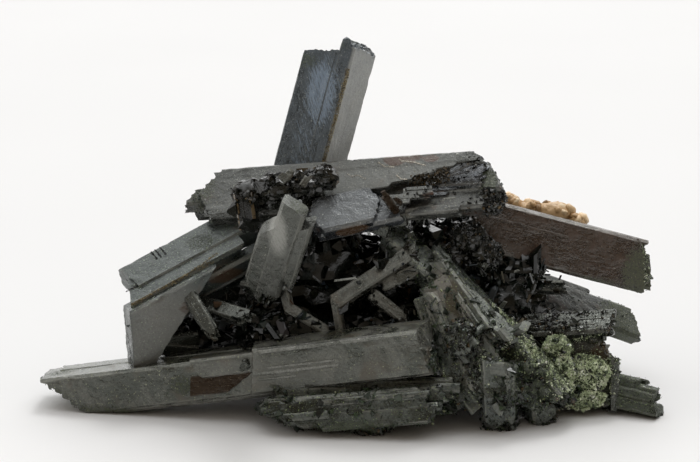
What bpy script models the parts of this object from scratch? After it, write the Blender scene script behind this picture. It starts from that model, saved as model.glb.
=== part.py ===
"""A hand-sized cluster of black aegirine: large prisms and blades grown out of a jumble of small ones.

Every crystal is a bundle of parallel laths. A lath is a straight prism with chamfered edges, cut off by planes
at both ends. The knots of fine grains are hulls with flat facets. The layout below is in millimetres, with x to
the right, y away from the front and z up from the surface that the cluster rests on.
"""

import math
import random
from typing import NamedTuple

import bmesh
import bpy
from mathutils import Matrix, Vector

MM = 0.001
GAP = 0.3  # clearance between two nodes that meet
CHAMFER = 0.20  # of the smaller side of a lath's section
BOX_CENTRE = (0.1, 5.8)  # where the middle of the cluster's box falls in the layout
NARROWEST = 0.02  # of a chamfer
SHORTEST = 0.003  # of an edge

AEGIRINE = {"colour": (0.016, 0.020, 0.016), "roughness": 0.30}
BROWN_AEGIRINE = {"colour": (0.050, 0.030, 0.018), "roughness": 0.32}
GREEN_CRUST = {"colour": (0.16, 0.20, 0.07), "roughness": 0.75}
FELDSPAR = {"colour": (0.62, 0.40, 0.18), "roughness": 0.55}


class Lath(NamedTuple):
    """One straight prism in a crystal's own frame: x across it, y out of its face, z along it."""

    x: float
    y: float
    width: float
    thick: float
    base_cuts: tuple  # planes (z, slope along x, slope along y) that the lath is above
    tip_cuts: tuple  # and planes that it is below


class Crystal(NamedTuple):
    """A bundle of parallel laths: the main one, those named here, and thin ribs that grew along it."""

    base: tuple
    tip: tuple
    face: tuple  # the way that its broad face looks
    width: float
    thick: float
    base_cuts: tuple = ((0.0, 0.0, 0.0),)
    tip_cuts: tuple = ((0.0, 0.0, 0.0),)  # their z counts from the tip
    laths: tuple = ()  # (x, y, width, thick, start, end, end slope); the end counts from the tip
    lean: float = 0.2  # how much the laths' ends drop towards the broad face
    ribs: int = 0
    seed: int = 0


class Lump(NamedTuple):
    """A knot of grains, as the hull of points spread over an ellipsoid."""

    centre: tuple
    radii: tuple
    seed: int


UPRIGHT_PRISM = [
    Crystal(
        base=(-8.3, 15.0, 18.7), tip=(-1.2, 18.1, 45.0), face=(-0.64, -0.77, 0.0), width=8.0, thick=5.4,
        tip_cuts=((-2.2, -0.25, 0.3),),
        laths=((-3.1, 0.1, 2.6, 5.5, 1.0, 0.5, 0.5), (3.4, -1.2, 1.6, 3.0, 4.0, -3.6, -0.5)),
        lean=-0.15, seed=3,
    )
]
UPPER_BLADE = [
    Crystal(
        base=(-20.3, 11.7, 25.0), tip=(17.4, 5.0, 29.5), face=(0.1, -0.62, 0.78), width=8.2, thick=2.4,
        base_cuts=((0.2, 0.8, 0.0), (0.2, -0.5, 0.0)), tip_cuts=((-3.2, 1.7, 0.0), (0.4, 0.15, -0.3), (1.8, -0.85, 0.0)),
        laths=(
            (-2.4, -1.9, 3.2, 2.4, 1.6, 1.0, 0.5),
            (0.9, -1.8, 5.0, 2.8, 0.4, 1.6, -0.4),
            (-4.0, -1.2, 1.5, 1.5, 27.0, -3.0, 0.3),
            (-2.9, -1.0, 2.2, 1.9, 2.4, -28.0, 0.4),
            (0.6, -1.3, 2.8, 2.4, -1.4, -30.0, -0.6),
        ),
        ribs=1, seed=12,
    ),
    Lump(centre=(18.2, 5.0, 26.6), radii=(2.4, 2.2, 2.2), seed=5),
]
LEFT_SLAB = [
    Crystal(
        base=(-29.9, 3.8, 11.9), tip=(-12.5, 10.0, 20.0), face=(-0.33, -0.5, 0.8), width=7.6, thick=7.0,
        base_cuts=((1.15, 0.36, 0.25),), tip_cuts=((-8.1, 0.0, 1.635), (0.0, 0.3, 0.2)),
        laths=(
            (1.0, 2.15, 5.4, 3.2, 2.3, 1.2, 0.2),
            (-3.5, 0.7, 2.2, 2.6, 8.5, 2.4, 0.6),
            (-3.4, -1.6, 1.8, 2.2, 5.0, -3.0, 0.5),
        ),
        seed=21,
    ),
    Crystal(  # the corner that hangs down over the front blade
        base=(-27.3, 0.2, 9.2), tip=(-16.9, 3.9, 14.0), face=(0.3, -0.95, 0.08), width=9.0, thick=4.4,
        base_cuts=((-1.76, 0.4, 0.0), (-5.7, -0.9, 0.0)), tip_cuts=((-6.7, 1.65, 0.1),), seed=22,
    ),
]
FRONT_BLADE = [
    Crystal(
        base=(-39.0, 1.1, 1.2), tip=(13.9, -7.6, 10.8), face=(-0.15, -0.97, 0.1), width=5.4, thick=6.6,
        base_cuts=((1.8, -1.07, 0.1),), tip_cuts=((-12.0, 0.5, 0.4),),
        laths=(
            (0.5, 0.6, 6.0, 6.6, 27.5, -3.4, -0.2),
            (1.6, -2.2, 2.4, 3.4, 1.2, -6.0, 0.4),
            (-2.0, 1.2, 2.2, 3.6, 7.6, -22.0, 0.7),
            (1.7, 3.0, 2.6, 1.2, 20.5, -8.0, 0.5),
        ),
        ribs=1, seed=31,
    )
]
RIGHT_PRISM = [
    Crystal(
        base=(16.0, 9.6, 22.4), tip=(38.6, 9.6, 16.3), face=(0.1, -0.97, 0.2), width=7.0, thick=5.0,
        base_cuts=((0.0, 0.2, 0.2),), tip_cuts=((0.2, -0.15, 0.2), (1.6, -0.8, 0.0)),
        laths=(
            (-2.2, 0.5, 2.4, 3.6, 9.0, 1.6, 0.5),
            (-0.6, -1.1, 4.6, 3.0, 2.0, 2.1, -0.3),
            (2.6, -1.4, 1.9, 2.4, 1.0, 0.6, 0.5),
        ),
        seed=41,
    )
]
NEAR_BLADE = [
    Crystal(
        base=(-10.9, -1.0, 15.2), tip=(-6.7, -9.2, 29.8), face=(-0.1, -1.0, 0.1), width=3.4, thick=2.5,
        base_cuts=((1.4, 0.0, 0.3),), tip_cuts=((0.0, 0.25, 0.3), (0.6, 0.8, 0.0)),
        laths=((1.9, 0.0, 2.8, 2.3, 1.2, -6.0, 1.2), (-2.0, -0.1, 2.0, 2.1, 4.4, -2.4, -0.9)),
        seed=51,
    )
]
HEX_PLATE = [
    Crystal(
        base=(-5.6, 2.2, 24.4), tip=(4.4, 4.6, 25.9), face=(-0.05, -0.62, 0.78), width=5.8, thick=2.6,
        base_cuts=((0.2, 0.5, 0.0), (0.2, -0.45, 0.0)), tip_cuts=((-0.6, 0.55, 0.0), (-0.2, -0.5, 0.0)),
        laths=((-1.9, -0.4, 2.0, 1.7, 1.4, 1.6, -0.4), (0.4, -1.2, 4.6, 2.2, 0.9, 0.8, 0.3)),
        seed=61,
    )
]
FRONT_SPLINTER = [
    Crystal(
        base=(-12.4, -9.1, 1.9), tip=(9.6, -10.6, 4.4), face=(0.0, -0.95, 0.3), width=4.2, thick=3.6,
        base_cuts=((2.0, -1.8, 0.3), (0.2, 0.9, 0.4)), tip_cuts=((0.0, 0.4, 0.2),),
        laths=((-1.3, 0.4, 2.6, 3.0, 8.0, 1.2, 0.6), (0.9, -0.9, 2.2, 3.0, 5.6, 2.4, -0.5)),
        ribs=3, seed=71,
    ),
    Crystal((-8.6, -6.2, 3.4), (13.6, -7.8, 4.4), (0.0, -0.95, 0.3), 4.6, 4.6,
            base_cuts=((0.0, -0.8, 0.0),), ribs=2, seed=72),
    Lump((2.6, -9.6, 1.9), (3.6, 2.4, 2.7), 73),
    Lump((-3.6, -9.4, 2.4), (3.4, 2.2, 2.2), 74),
]
# Sub-parallel laths that fan out as they come down to the front.
DIAGONAL_BUNDLE = [
    Crystal((5.5, 5.4, 21.4), (20.2, -6.0, 10.2), (0.35, -0.55, 0.75), 4.2, 3.0, ribs=2, seed=81),
    Crystal((10.6, 3.6, 19.4), (26.9, -7.4, 3.0), (0.72, -0.2, 0.66), 4.0, 3.4,
            tip_cuts=((0.0, 0.4, 0.2),), ribs=2, seed=82),
    Crystal((11.6, -0.4, 19.2), (17.0, -7.0, 12.6), (-0.35, -0.85, 0.35), 2.6, 1.8,
            tip_cuts=((0.0, 0.3, 0.2),), ribs=1, seed=83),
    Crystal((11.0, -1.2, 17.0), (20.4, -9.6, 3.4), (-0.2, -0.8, 0.55), 4.2, 3.6, ribs=2, seed=84),
    Crystal((10.2, -2.0, 15.6), (15.0, -8.8, 4.0), (-0.5, -0.8, 0.4), 3.6, 3.4, ribs=2, seed=85),
    Crystal((18.6, -8.4, 9.0), (19.2, -7.6, -0.6), (-0.1, -0.98, 0.1), 4.2, 3.6,
            base_cuts=((0.0, 0.3, -0.4),), ribs=2, seed=86),
    Crystal((23.2, -6.6, 8.0), (24.8, -5.4, -0.6), (0.3, -0.9, 0.3), 3.6, 3.6,
            base_cuts=((0.0, 0.3, -0.4),), ribs=2, seed=87),
    Lump((14.4, -6.6, 11.2), (2.8, 2.4, 3.2), 88),
    Lump((15.4, -7.6, 5.6), (3.0, 2.4, 3.6), 89),
    Lump((22.0, -7.0, 5.6), (3.4, 2.4, 3.2), 80),
]
RIGHT_BACK_BLADE = [
    Crystal(
        base=(22.6, 10.6, 13.0), tip=(38.6, 13.2, 6.4), face=(-0.1, -0.6, 0.8), width=4.6, thick=2.4,
        tip_cuts=((0.0, -0.4, 0.2),),
        laths=((1.8, -0.7, 2.6, 2.0, 4.0, -1.6, 0.5), (2.6, -0.2, 1.8, 1.6, 2.0, -7.0, 0.6)),
        seed=91,
    )
]
STUB_BLADE = [
    Crystal(
        base=(30.0, 0.4, 2.8), tip=(40.0, -3.2, 1.6), face=(0.1, -0.95, 0.3), width=3.6, thick=4.0,
        tip_cuts=((-0.6, 0.2, 0.1),),
        laths=((1.4, 0.2, 2.2, 3.6, 1.0, -2.4, 0.4), (-1.1, 0.6, 1.8, 3.4, 1.0, 0.6, -0.3),
               (0.3, 0.9, 1.4, 2.9, 1.0, -0.2, 0.4)),
        ribs=3, seed=101,
    )
]
COATED_BLOCK = [
    Crystal((23.2, 2.0, 9.7), (34.0, 0.5, 10.9), (0.0, -0.5, 0.85), 4.0, 2.4,
            tip_cuts=((0.0, 0.3, 0.3),), ribs=2, seed=111),
    Crystal((23.9, 2.4, 5.8), (34.3, 0.6, 6.1), (0.0, -0.95, 0.3), 6.6, 4.8,
            tip_cuts=((0.0, -0.1, 0.1), (0.2, -0.7, 0.0)), ribs=2, seed=112),
    Crystal((22.8, -1.0, 1.4), (34.5, -1.0, 1.0), (0.0, -0.9, 0.4), 2.2, 5.4,
            tip_cuts=((0.0, 0.3, -0.3),), ribs=1, seed=113),
    Crystal((33.8, -1.6, 6.6), (33.9, -2.6, 0.4), (0.4, -0.9, 0.1), 1.3, 3.4,
            base_cuts=((0.0, 0.6, -0.5),), seed=114),
]
GREEN_CRUST_LUMPS = [
    Lump((31.0, -2.6, 5.0), (3.5, 2.6, 3.2), 121),
    Lump((27.0, -3.0, 5.4), (3.4, 2.5, 3.2), 122),
    Lump((30.0, -3.2, 2.4), (4.8, 2.6, 2.5), 123),
    Lump((27.0, -1.6, 8.4), (2.6, 2.2, 2.0), 124),
]
FELDSPAR_GRAINS = [
    Lump((21.4, 13.8, 23.6), (2.2, 1.9, 1.7), 131),
    Lump((24.2, 14.0, 22.7), (2.6, 1.9, 1.5), 132),
    Lump((27.6, 13.8, 22.3), (3.1, 2.1, 1.9), 133),
    Lump((30.2, 13.8, 21.0), (2.2, 1.9, 1.5), 134),
]
GRAIN_CAP = [
    Lump((-12.8, 4.2, 27.6), (3.0, 2.6, 2.3), 141),
    Lump((-9.6, 3.4, 28.7), (3.1, 3.0, 2.2), 142),
    Lump((-6.2, 4.0, 28.9), (3.1, 2.6, 2.3), 143),
    Lump((-3.4, 4.8, 29.6), (2.3, 2.2, 2.1), 144),
    Crystal((-13.8, 3.6, 28.0), (-13.0, 2.6, 23.4), (-0.3, -0.95, 0.1), 2.6, 1.6, ribs=1, seed=145),
]
SPARK_LUMP = [
    Lump((15.6, 4.2, 21.6), (3.0, 2.6, 2.6), 151),
    Lump((17.6, 3.6, 19.6), (2.8, 2.4, 2.9), 152),
    Lump((14.0, 4.4, 19.0), (3.0, 2.6, 2.6), 153),
]
BACK_SLAB = [
    Crystal(
        base=(-25.0, 14.0, 5.0), tip=(3.0, 19.6, 16.6), face=(-0.1, 0.9, 0.42), width=9.0, thick=4.6,
        base_cuts=((1.0, 0.4, 0.2),), tip_cuts=((0.0, 0.5, 0.2),),
        laths=((-3.0, 0.6, 2.8, 4.0, -2.0, -9.0, 0.6), (2.8, -0.5, 3.0, 3.6, 6.0, 2.2, -0.5)),
        ribs=5, seed=161,
    )
]
BACK_BLADE = [
    Crystal(
        base=(24.0, 15.6, 1.5), tip=(-15.0, 20.2, 2.0), face=(0.0, 0.6, 0.8), width=6.4, thick=3.4,
        base_cuts=((0.0, 0.3, 0.3),), tip_cuts=((0.0, 0.7, 0.2),),
        laths=((-2.0, 0.2, 2.4, 2.8, 3.0, 2.6, 0.5), (2.0, 0.6, 2.6, 2.6, -2.4, -12.0, -0.6)),
        ribs=5, seed=171,
    )
]
REAR_PRISM = [
    Crystal(
        base=(3.0, 11.0, 15.6), tip=(12.4, 23.0, 22.8), face=(0.75, -0.6, 0.1), width=4.6, thick=4.2,
        tip_cuts=((0.0, 0.4, -0.2), (0.6, -0.7, 0.3)),
        laths=((1.6, 0.6, 1.8, 3.6, 3.0, -3.0, 0.5),),
        ribs=3, seed=181,
    )
]
LOW_REAR_PRISM = [
    Crystal(
        base=(10.0, 10.0, 9.0), tip=(24.4, 21.4, 8.4), face=(0.3, -0.3, 0.9), width=5.4, thick=4.0,
        tip_cuts=((0.0, 0.3, -0.3),),
        laths=((-1.8, 0.5, 2.2, 3.2, 3.0, 2.2, 0.6),),
        ribs=3, seed=191,
    )
]
# The mass that the large crystals stand in, and the small blades that show in its hollows.
JUMBLE = [
    Lump((-13.0, 8.4, 10.6), (10.0, 5.6, 7.0), 201),
    Lump((-4.0, 8.0, 15.6), (11.0, 5.6, 8.6), 202),
    Lump((8.0, 7.6, 14.6), (11.0, 6.4, 8.8), 203),
    Lump((19.0, 7.2, 11.0), (9.0, 6.0, 7.6), 204),
    Lump((3.0, 8.0, 7.4), (16.0, 8.4, 5.6), 205),
    Lump((-9.0, 1.2, 9.6), (7.0, 4.4, 4.6), 206),
    Lump((6.0, 0.0, 8.6), (8.4, 5.0, 5.0), 207),
    Lump((18.6, 1.0, 8.0), (7.0, 5.0, 5.4), 208),
    Lump((13.6, 8.8, 21.4), (4.4, 3.0, 2.8), 209),
    Lump((22.6, 7.6, 16.4), (4.4, 3.4, 2.8), 210),
    Lump((-21.4, 4.4, 7.6), (3.8, 3.2, 3.6), 200),
    Crystal((-1.9, -1.4, 14.6), (8.4, 2.0, 20.6), (-0.3, -0.75, 0.6), 2.2, 1.4, ribs=1, seed=211),
    Crystal((-1.9, -0.9, 15.0), (-1.0, -2.0, 9.6), (-0.5, -0.85, 0.1), 1.2, 1.2, seed=212),
    Crystal((-8.8, 1.2, 16.6), (-7.7, -0.4, 12.6), (-0.4, -0.9, 0.1), 1.3, 1.1, seed=213),
    Crystal((-8.0, -0.2, 13.4), (-1.8, -1.4, 9.8), (0.2, -0.75, 0.6), 1.5, 1.2, seed=214),
    Crystal((4.4, 0.2, 16.4), (9.6, 0.8, 18.8), (0.0, -0.8, 0.6), 1.8, 1.1, seed=215),
    Crystal((3.0, -0.6, 15.4), (7.0, -1.8, 12.4), (0.1, -0.8, 0.6), 1.6, 1.1, seed=216),
    Crystal((-21.6, 2.0, 15.6), (-17.4, -3.4, 10.6), (-0.2, -0.85, 0.5), 2.0, 1.6, seed=217),
    Crystal((-20.0, 3.0, 13.0), (-13.0, -1.6, 12.4), (0.3, -0.7, 0.6), 2.4, 1.6, seed=218),
    Crystal((-12.6, 2.6, 15.6), (-9.6, -1.6, 16.4), (0.0, -0.6, 0.8), 3.4, 3.2, seed=219),
]
BLADE_SPREAD = 26  # how many more small blades the jumble carries
BLADE_LUMPS = 8  # they grow on its first eight lumps

NODES = {  # in the order in which they were laid down: each is cut to clear those before it
    "upright_prism": (UPRIGHT_PRISM, AEGIRINE),
    "upper_blade": (UPPER_BLADE, AEGIRINE),
    "left_slab": (LEFT_SLAB, AEGIRINE),
    "front_blade": (FRONT_BLADE, AEGIRINE),
    "right_prism": (RIGHT_PRISM, BROWN_AEGIRINE),
    "near_blade": (NEAR_BLADE, AEGIRINE),
    "back_slab": (BACK_SLAB, AEGIRINE),
    "back_blade": (BACK_BLADE, AEGIRINE),
    "rear_prism": (REAR_PRISM, AEGIRINE),
    "low_rear_prism": (LOW_REAR_PRISM, AEGIRINE),
    "hex_plate": (HEX_PLATE, AEGIRINE),
    "right_back_blade": (RIGHT_BACK_BLADE, AEGIRINE),
    "stub_blade": (STUB_BLADE, AEGIRINE),
    "coated_block": (COATED_BLOCK, BROWN_AEGIRINE),
    "diagonal_bundle": (DIAGONAL_BUNDLE, AEGIRINE),
    "front_splinter": (FRONT_SPLINTER, AEGIRINE),
    "grain_cap": (GRAIN_CAP, AEGIRINE),
    "spark_lump": (SPARK_LUMP, AEGIRINE),
    "green_crust": (GREEN_CRUST_LUMPS, GREEN_CRUST),
    "feldspar_grains": (FELDSPAR_GRAINS, FELDSPAR),
    "jumble": (JUMBLE, AEGIRINE),
}


def frame_of(crystal):
    """The crystal's own frame, with its origin at the base, and its length."""
    base, tip = Vector(crystal.base), Vector(crystal.tip)
    along = (tip - base).normalized()
    out = Vector(crystal.face)
    out = (out - along * out.dot(along)).normalized()
    across = out.cross(along)
    turn = Matrix((across, out, along)).transposed().to_4x4()
    return Matrix.Translation(base) @ turn, (tip - base).length


def ribs_of(crystal, length):
    """Thin laths that stand a little proud of the broad faces, near one end or the other."""
    rng = random.Random(crystal.seed)
    found = []
    for _ in range(crystal.ribs):
        side = rng.choice((1, 1, -1))
        width = crystal.width * rng.uniform(0.14, 0.32)
        x = (crystal.width - 0.6 * width) / 2 * rng.uniform(-1, 1)
        thick = crystal.thick * rng.uniform(0.35, 0.6)
        y = side * (crystal.thick / 2 + rng.uniform(0.2, 0.5) - thick / 2)
        slope = rng.uniform(-0.7, 0.7)
        if rng.random() < 0.5:
            start, end = length * rng.uniform(0.35, 0.75), length
        else:
            start, end = 0.0, length * rng.uniform(0.25, 0.65)
        over = rng.uniform(-1.2, 0.5)
        bases = tuple((z - over, across, out) for z, across, out in crystal.base_cuts)
        tips = tuple((length + z + over, across, out) for z, across, out in crystal.tip_cuts)
        found.append(
            Lath(x, y, width, thick, (*bases, (start, -slope, 0.3)), (*tips, (end, slope, 0.2)))
        )
    return found


def laths_of(crystal, length):
    """Every lath of the crystal, the main one first."""
    tips = tuple((length + z, across, out) for z, across, out in crystal.tip_cuts)
    found = [Lath(0.0, 0.0, crystal.width, crystal.thick, crystal.base_cuts, tips)]
    for x, y, width, thick, start, end, slope in crystal.laths:
        low = (start + slope * x - 0.15 * y, -slope, 0.15)
        high = (length + end - slope * x + crystal.lean * y, slope, -crystal.lean)
        found.append(Lath(x, y, width, thick, (low,), (high,)))
    return found + ribs_of(crystal, length)


def section_of(lath, grown):
    """The lath's outline, a rectangle with cut corners, with each side moved out by grown."""
    a, b = lath.width / 2, lath.thick / 2
    cut = CHAMFER * min(lath.width, lath.thick)
    cut -= grown * (2 - math.sqrt(2))  # so that the cut corner's side moves out as far as the others
    a, b = a + grown, b + grown
    cut = max(cut, NARROWEST)
    corners = [(a, b - cut), (a - cut, b), (cut - a, b), (-a, b - cut)]
    corners += [(-a, cut - b), (cut - a, -b), (a - cut, -b), (a, cut - b)]
    return [(lath.x + x, lath.y + y) for x, y in corners]


def trim(bm, z, across, out, keep_below):
    """Cuts a convex solid off at a plane, and closes it."""
    side = 1 if keep_below else -1
    normal = Vector((-across, -out, 1.0)).normalized() * side
    geometry = bm.verts[:] + bm.edges[:] + bm.faces[:]
    cut = bmesh.ops.bisect_plane(
        bm, geom=geometry, dist=1e-5, plane_co=(0, 0, z), plane_no=normal, clear_outer=True
    )
    edges = [e for e in cut["geom_cut"] if isinstance(e, bmesh.types.BMEdge)]
    bmesh.ops.edgenet_fill(bm, edges=edges)


def lath_mesh(lath, matrix, length, grown):
    """The lath as a closed convex solid in the layout."""
    bm = bmesh.new()
    reach = length * 2 + 10
    corners = section_of(lath, grown)
    low = [bm.verts.new((x, y, -reach)) for x, y in corners]
    high = [bm.verts.new((x, y, reach)) for x, y in corners]
    bm.faces.new(low[::-1])
    bm.faces.new(high)
    for i in range(len(corners)):
        j = (i + 1) % len(corners)
        bm.faces.new((low[i], low[j], high[j], high[i]))
    for cuts, sign in ((lath.base_cuts, -1), (lath.tip_cuts, 1)):
        for z, across, out in cuts:
            steep = math.sqrt(1 + across * across + out * out)
            trim(bm, z + sign * grown * steep, across, out, sign > 0)
    bmesh.ops.recalc_face_normals(bm, faces=bm.faces)
    bm.transform(matrix)
    return bm


def lump_mesh(lump, grown):
    """The lump's hull: points along a spiral over the ellipsoid, each moved a little in or out."""
    rng = random.Random(lump.seed)
    count = 15 if max(lump.radii) < 5 else 22
    bm = bmesh.new()
    for i in range(count):
        height = 1 - (2 * i + 1) / count
        angle = i * math.pi * (3 - math.sqrt(5)) + rng.uniform(-0.35, 0.35)
        around = math.sqrt(1 - height * height)
        spot = Vector((around * math.cos(angle), around * math.sin(angle), height)) * rng.uniform(0.82, 1.08)
        bm.verts.new([c + s * (r + grown) for c, s, r in zip(lump.centre, spot, lump.radii)])
    hull = bmesh.ops.convex_hull(bm, input=bm.verts)
    inside = [v for v in hull["geom_interior"] if isinstance(v, bmesh.types.BMVert)]
    bmesh.ops.delete(bm, geom=inside, context="VERTS")
    bmesh.ops.recalc_face_normals(bm, faces=bm.faces)
    return bm


def solids_of(pieces, grown=0.0):
    """Each convex solid of a node, as a mesh in the layout."""
    for piece in pieces:
        if isinstance(piece, Lump):
            yield lump_mesh(piece, grown)
        else:
            matrix, length = frame_of(piece)
            for lath in laths_of(piece, length):
                yield lath_mesh(lath, matrix, length, grown)


def object_from(bm, name):
    """Puts a bmesh into the scene as an object, and frees it."""
    mesh = bpy.data.meshes.new(name)
    bm.to_mesh(mesh)
    bm.free()
    made = bpy.data.objects.new(name, mesh)
    bpy.context.scene.collection.objects.link(made)
    return made


def combine(target, others, operation):
    """Joins some solids to the target, or cuts them from it, and removes them."""
    group = bpy.data.collections.new(operation)
    for other in others:
        group.objects.link(other)
    boolean = target.modifiers.new(operation, "BOOLEAN")
    boolean.operation = operation
    boolean.solver = "EXACT"
    boolean.operand_type = "COLLECTION"
    boolean.collection = group
    graph = bpy.context.evaluated_depsgraph_get()
    mesh = bpy.data.meshes.new_from_object(target.evaluated_get(graph))
    target.modifiers.clear()
    target.data = mesh
    for other in others:
        bpy.data.objects.remove(other)
    bpy.data.collections.remove(group)
    drop_slivers(target)


def drop_slivers(made):
    """Closes up edges too short to see, which a Boolean leaves where planes nearly meet."""
    bm = bmesh.new()
    bm.from_mesh(made.data)
    bmesh.ops.remove_doubles(bm, verts=bm.verts, dist=SHORTEST)
    bmesh.ops.dissolve_degenerate(bm, edges=bm.edges, dist=SHORTEST / 5)
    bm.to_mesh(made.data)
    bm.free()


def box_of(points):
    """The lowest and the highest corner of some points."""
    return [[pick(p[i] for p in points) for i in range(3)] for pick in (min, max)]


def apart(first, second):
    """Whether two boxes are clear of each other."""
    return any(first[1][i] < second[0][i] or second[1][i] < first[0][i] for i in range(3))


def drop_chips(made):
    """Keeps the largest piece where a cut has left loose chips."""
    bm = bmesh.new()
    bm.from_mesh(made.data)
    left, groups = set(bm.verts), []
    while left:
        group, edge = set(), [left.pop()]
        while edge:
            vert = edge.pop()
            group.add(vert)
            near = {e.other_vert(vert) for e in vert.link_edges} & left
            left -= near
            edge += near
        groups.append(group)
    groups.sort(key=len)
    for group in groups[:-1]:
        bmesh.ops.delete(bm, geom=list(group), context="VERTS")
    bm.to_mesh(made.data)
    bm.free()
    return len(groups) - 1


def ground():
    """The surface that the cluster rests on, as a thick block below it."""
    bm = bmesh.new()
    bmesh.ops.create_cube(bm, size=200, matrix=Matrix.Translation((0, 0, -100)))
    return object_from(bm, "ground")


def stray_blades():
    """Small blades that stick out of the jumble all round."""
    rng = random.Random(220)
    found = []
    while len(found) < BLADE_SPREAD:
        lump = rng.choice(JUMBLE[:BLADE_LUMPS])
        way = Vector([rng.gauss(0, 1) for _ in range(3)]).normalized()
        if rng.random() < 0.5:
            way.y = -abs(way.y)
        root = Vector(lump.centre) + Vector([w * r * 0.7 for w, r in zip(way, lump.radii)])
        lean = (way + Vector([rng.gauss(0, 0.6) for _ in range(3)])).normalized()
        tip = root + lean * rng.uniform(4.0, 8.0)
        if tip.z < 1.0:
            continue
        face = Vector([rng.gauss(0, 1) for _ in range(3)])
        found.append(Crystal(tuple(root), tuple(tip), tuple(face), rng.uniform(1.4, 2.8), rng.uniform(0.9, 1.6)))
    return found


def material_of(name, look):
    """A plain stone-like finish."""
    material = bpy.data.materials.new(name)
    material.use_nodes = True
    shader = material.node_tree.nodes["Principled BSDF"]
    shader.inputs["Base Color"].default_value = (*look["colour"], 1.0)
    shader.inputs["Roughness"].default_value = look["roughness"]
    shader.inputs["Metallic"].default_value = 0.0
    return material


def build_node(name, pieces, look, earlier):
    """One node: its convex solids joined, then cut to clear the ground and every earlier node."""
    made, *others = [object_from(bm, name) for bm in solids_of(pieces)]
    if others:
        combine(made, others, "UNION")
    own = box_of([v.co for v in made.data.vertices])
    for bm in (bm for neighbour in earlier for bm in solids_of(neighbour, GAP)):
        if apart(own, box_of([v.co for v in bm.verts])):
            bm.free()
        else:
            combine(made, [object_from(bm, "neighbour")], "DIFFERENCE")
    if own[0][2] < 0:
        combine(made, [ground()], "DIFFERENCE")
    chips = drop_chips(made)
    made.name = name
    made.data.materials.clear()
    made.data.materials.append(material_of(name, look))
    shift = Matrix.Translation((-BOX_CENTRE[0], -BOX_CENTRE[1], 0))
    made.data.transform(Matrix.Scale(MM, 4) @ shift)
    return made, chips


def main():
    for old in list(bpy.data.objects):
        bpy.data.objects.remove(old)
    JUMBLE.extend(stray_blades())
    earlier = []
    for name, (pieces, look) in NODES.items():
        made, chips = build_node(name, pieces, look, earlier)
        earlier.append(pieces)
        print(name, len(made.data.polygons), "faces", chips, "chips")


main()
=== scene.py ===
"""The look of a cluster of black aegirine crystals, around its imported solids.

The crystals' layout is the one that their solids have: each crystal is a bundle of parallel laths, and each
knot of grains is a lump. Here every lath gets striated faces, chipped edges and hackly ends, and the lumps
become fine grains. The layout is in millimetres, with x to the right, y away from the front and z up from the
floor.
"""

import math
import random
from typing import NamedTuple

import bmesh
import bpy
import numpy as np
from mathutils import Matrix, Vector


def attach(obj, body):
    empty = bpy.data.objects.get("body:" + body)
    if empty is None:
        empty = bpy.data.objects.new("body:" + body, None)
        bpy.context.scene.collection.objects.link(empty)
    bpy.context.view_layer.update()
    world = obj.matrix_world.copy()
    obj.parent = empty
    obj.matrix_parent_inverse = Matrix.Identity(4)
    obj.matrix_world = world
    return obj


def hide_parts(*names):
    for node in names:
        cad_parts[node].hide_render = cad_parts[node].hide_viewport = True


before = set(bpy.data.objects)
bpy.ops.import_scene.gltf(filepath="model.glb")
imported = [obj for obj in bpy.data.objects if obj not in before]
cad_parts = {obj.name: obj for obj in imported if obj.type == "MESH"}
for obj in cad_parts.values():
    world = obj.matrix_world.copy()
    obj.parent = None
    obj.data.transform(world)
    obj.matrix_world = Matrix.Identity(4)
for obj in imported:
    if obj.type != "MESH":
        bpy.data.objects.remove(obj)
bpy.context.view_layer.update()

MM = 0.001
BOX_CENTRE = (0.1, 5.8)  # where the origin of the frame falls in the layout
CHAMFER = 0.20  # of the smaller side of a lath's section
WIDEST_CHAMFER = 0.4


class Lath(NamedTuple):
    """One straight prism in a crystal's own frame: x across it, y out of its face, z along it."""

    x: float
    y: float
    width: float
    thick: float
    base_cuts: tuple  # planes (z, slope along x, slope along y) that the lath is above
    tip_cuts: tuple  # and planes that it is below


class Crystal(NamedTuple):
    """A bundle of parallel laths: the main one, those named here, and thin ribs that grew along it."""

    base: tuple
    tip: tuple
    face: tuple  # the way that its broad face looks
    width: float
    thick: float
    base_cuts: tuple = ((0.0, 0.0, 0.0),)
    tip_cuts: tuple = ((0.0, 0.0, 0.0),)  # their z counts from the tip
    laths: tuple = ()  # (x, y, width, thick, start, end, end slope); the end counts from the tip
    lean: float = 0.2  # how much the laths' ends drop towards the broad face
    ribs: int = 0
    seed: int = 0


class Lump(NamedTuple):
    """A knot of grains, as the hull of points spread over an ellipsoid."""

    centre: tuple
    radii: tuple
    seed: int


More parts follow.
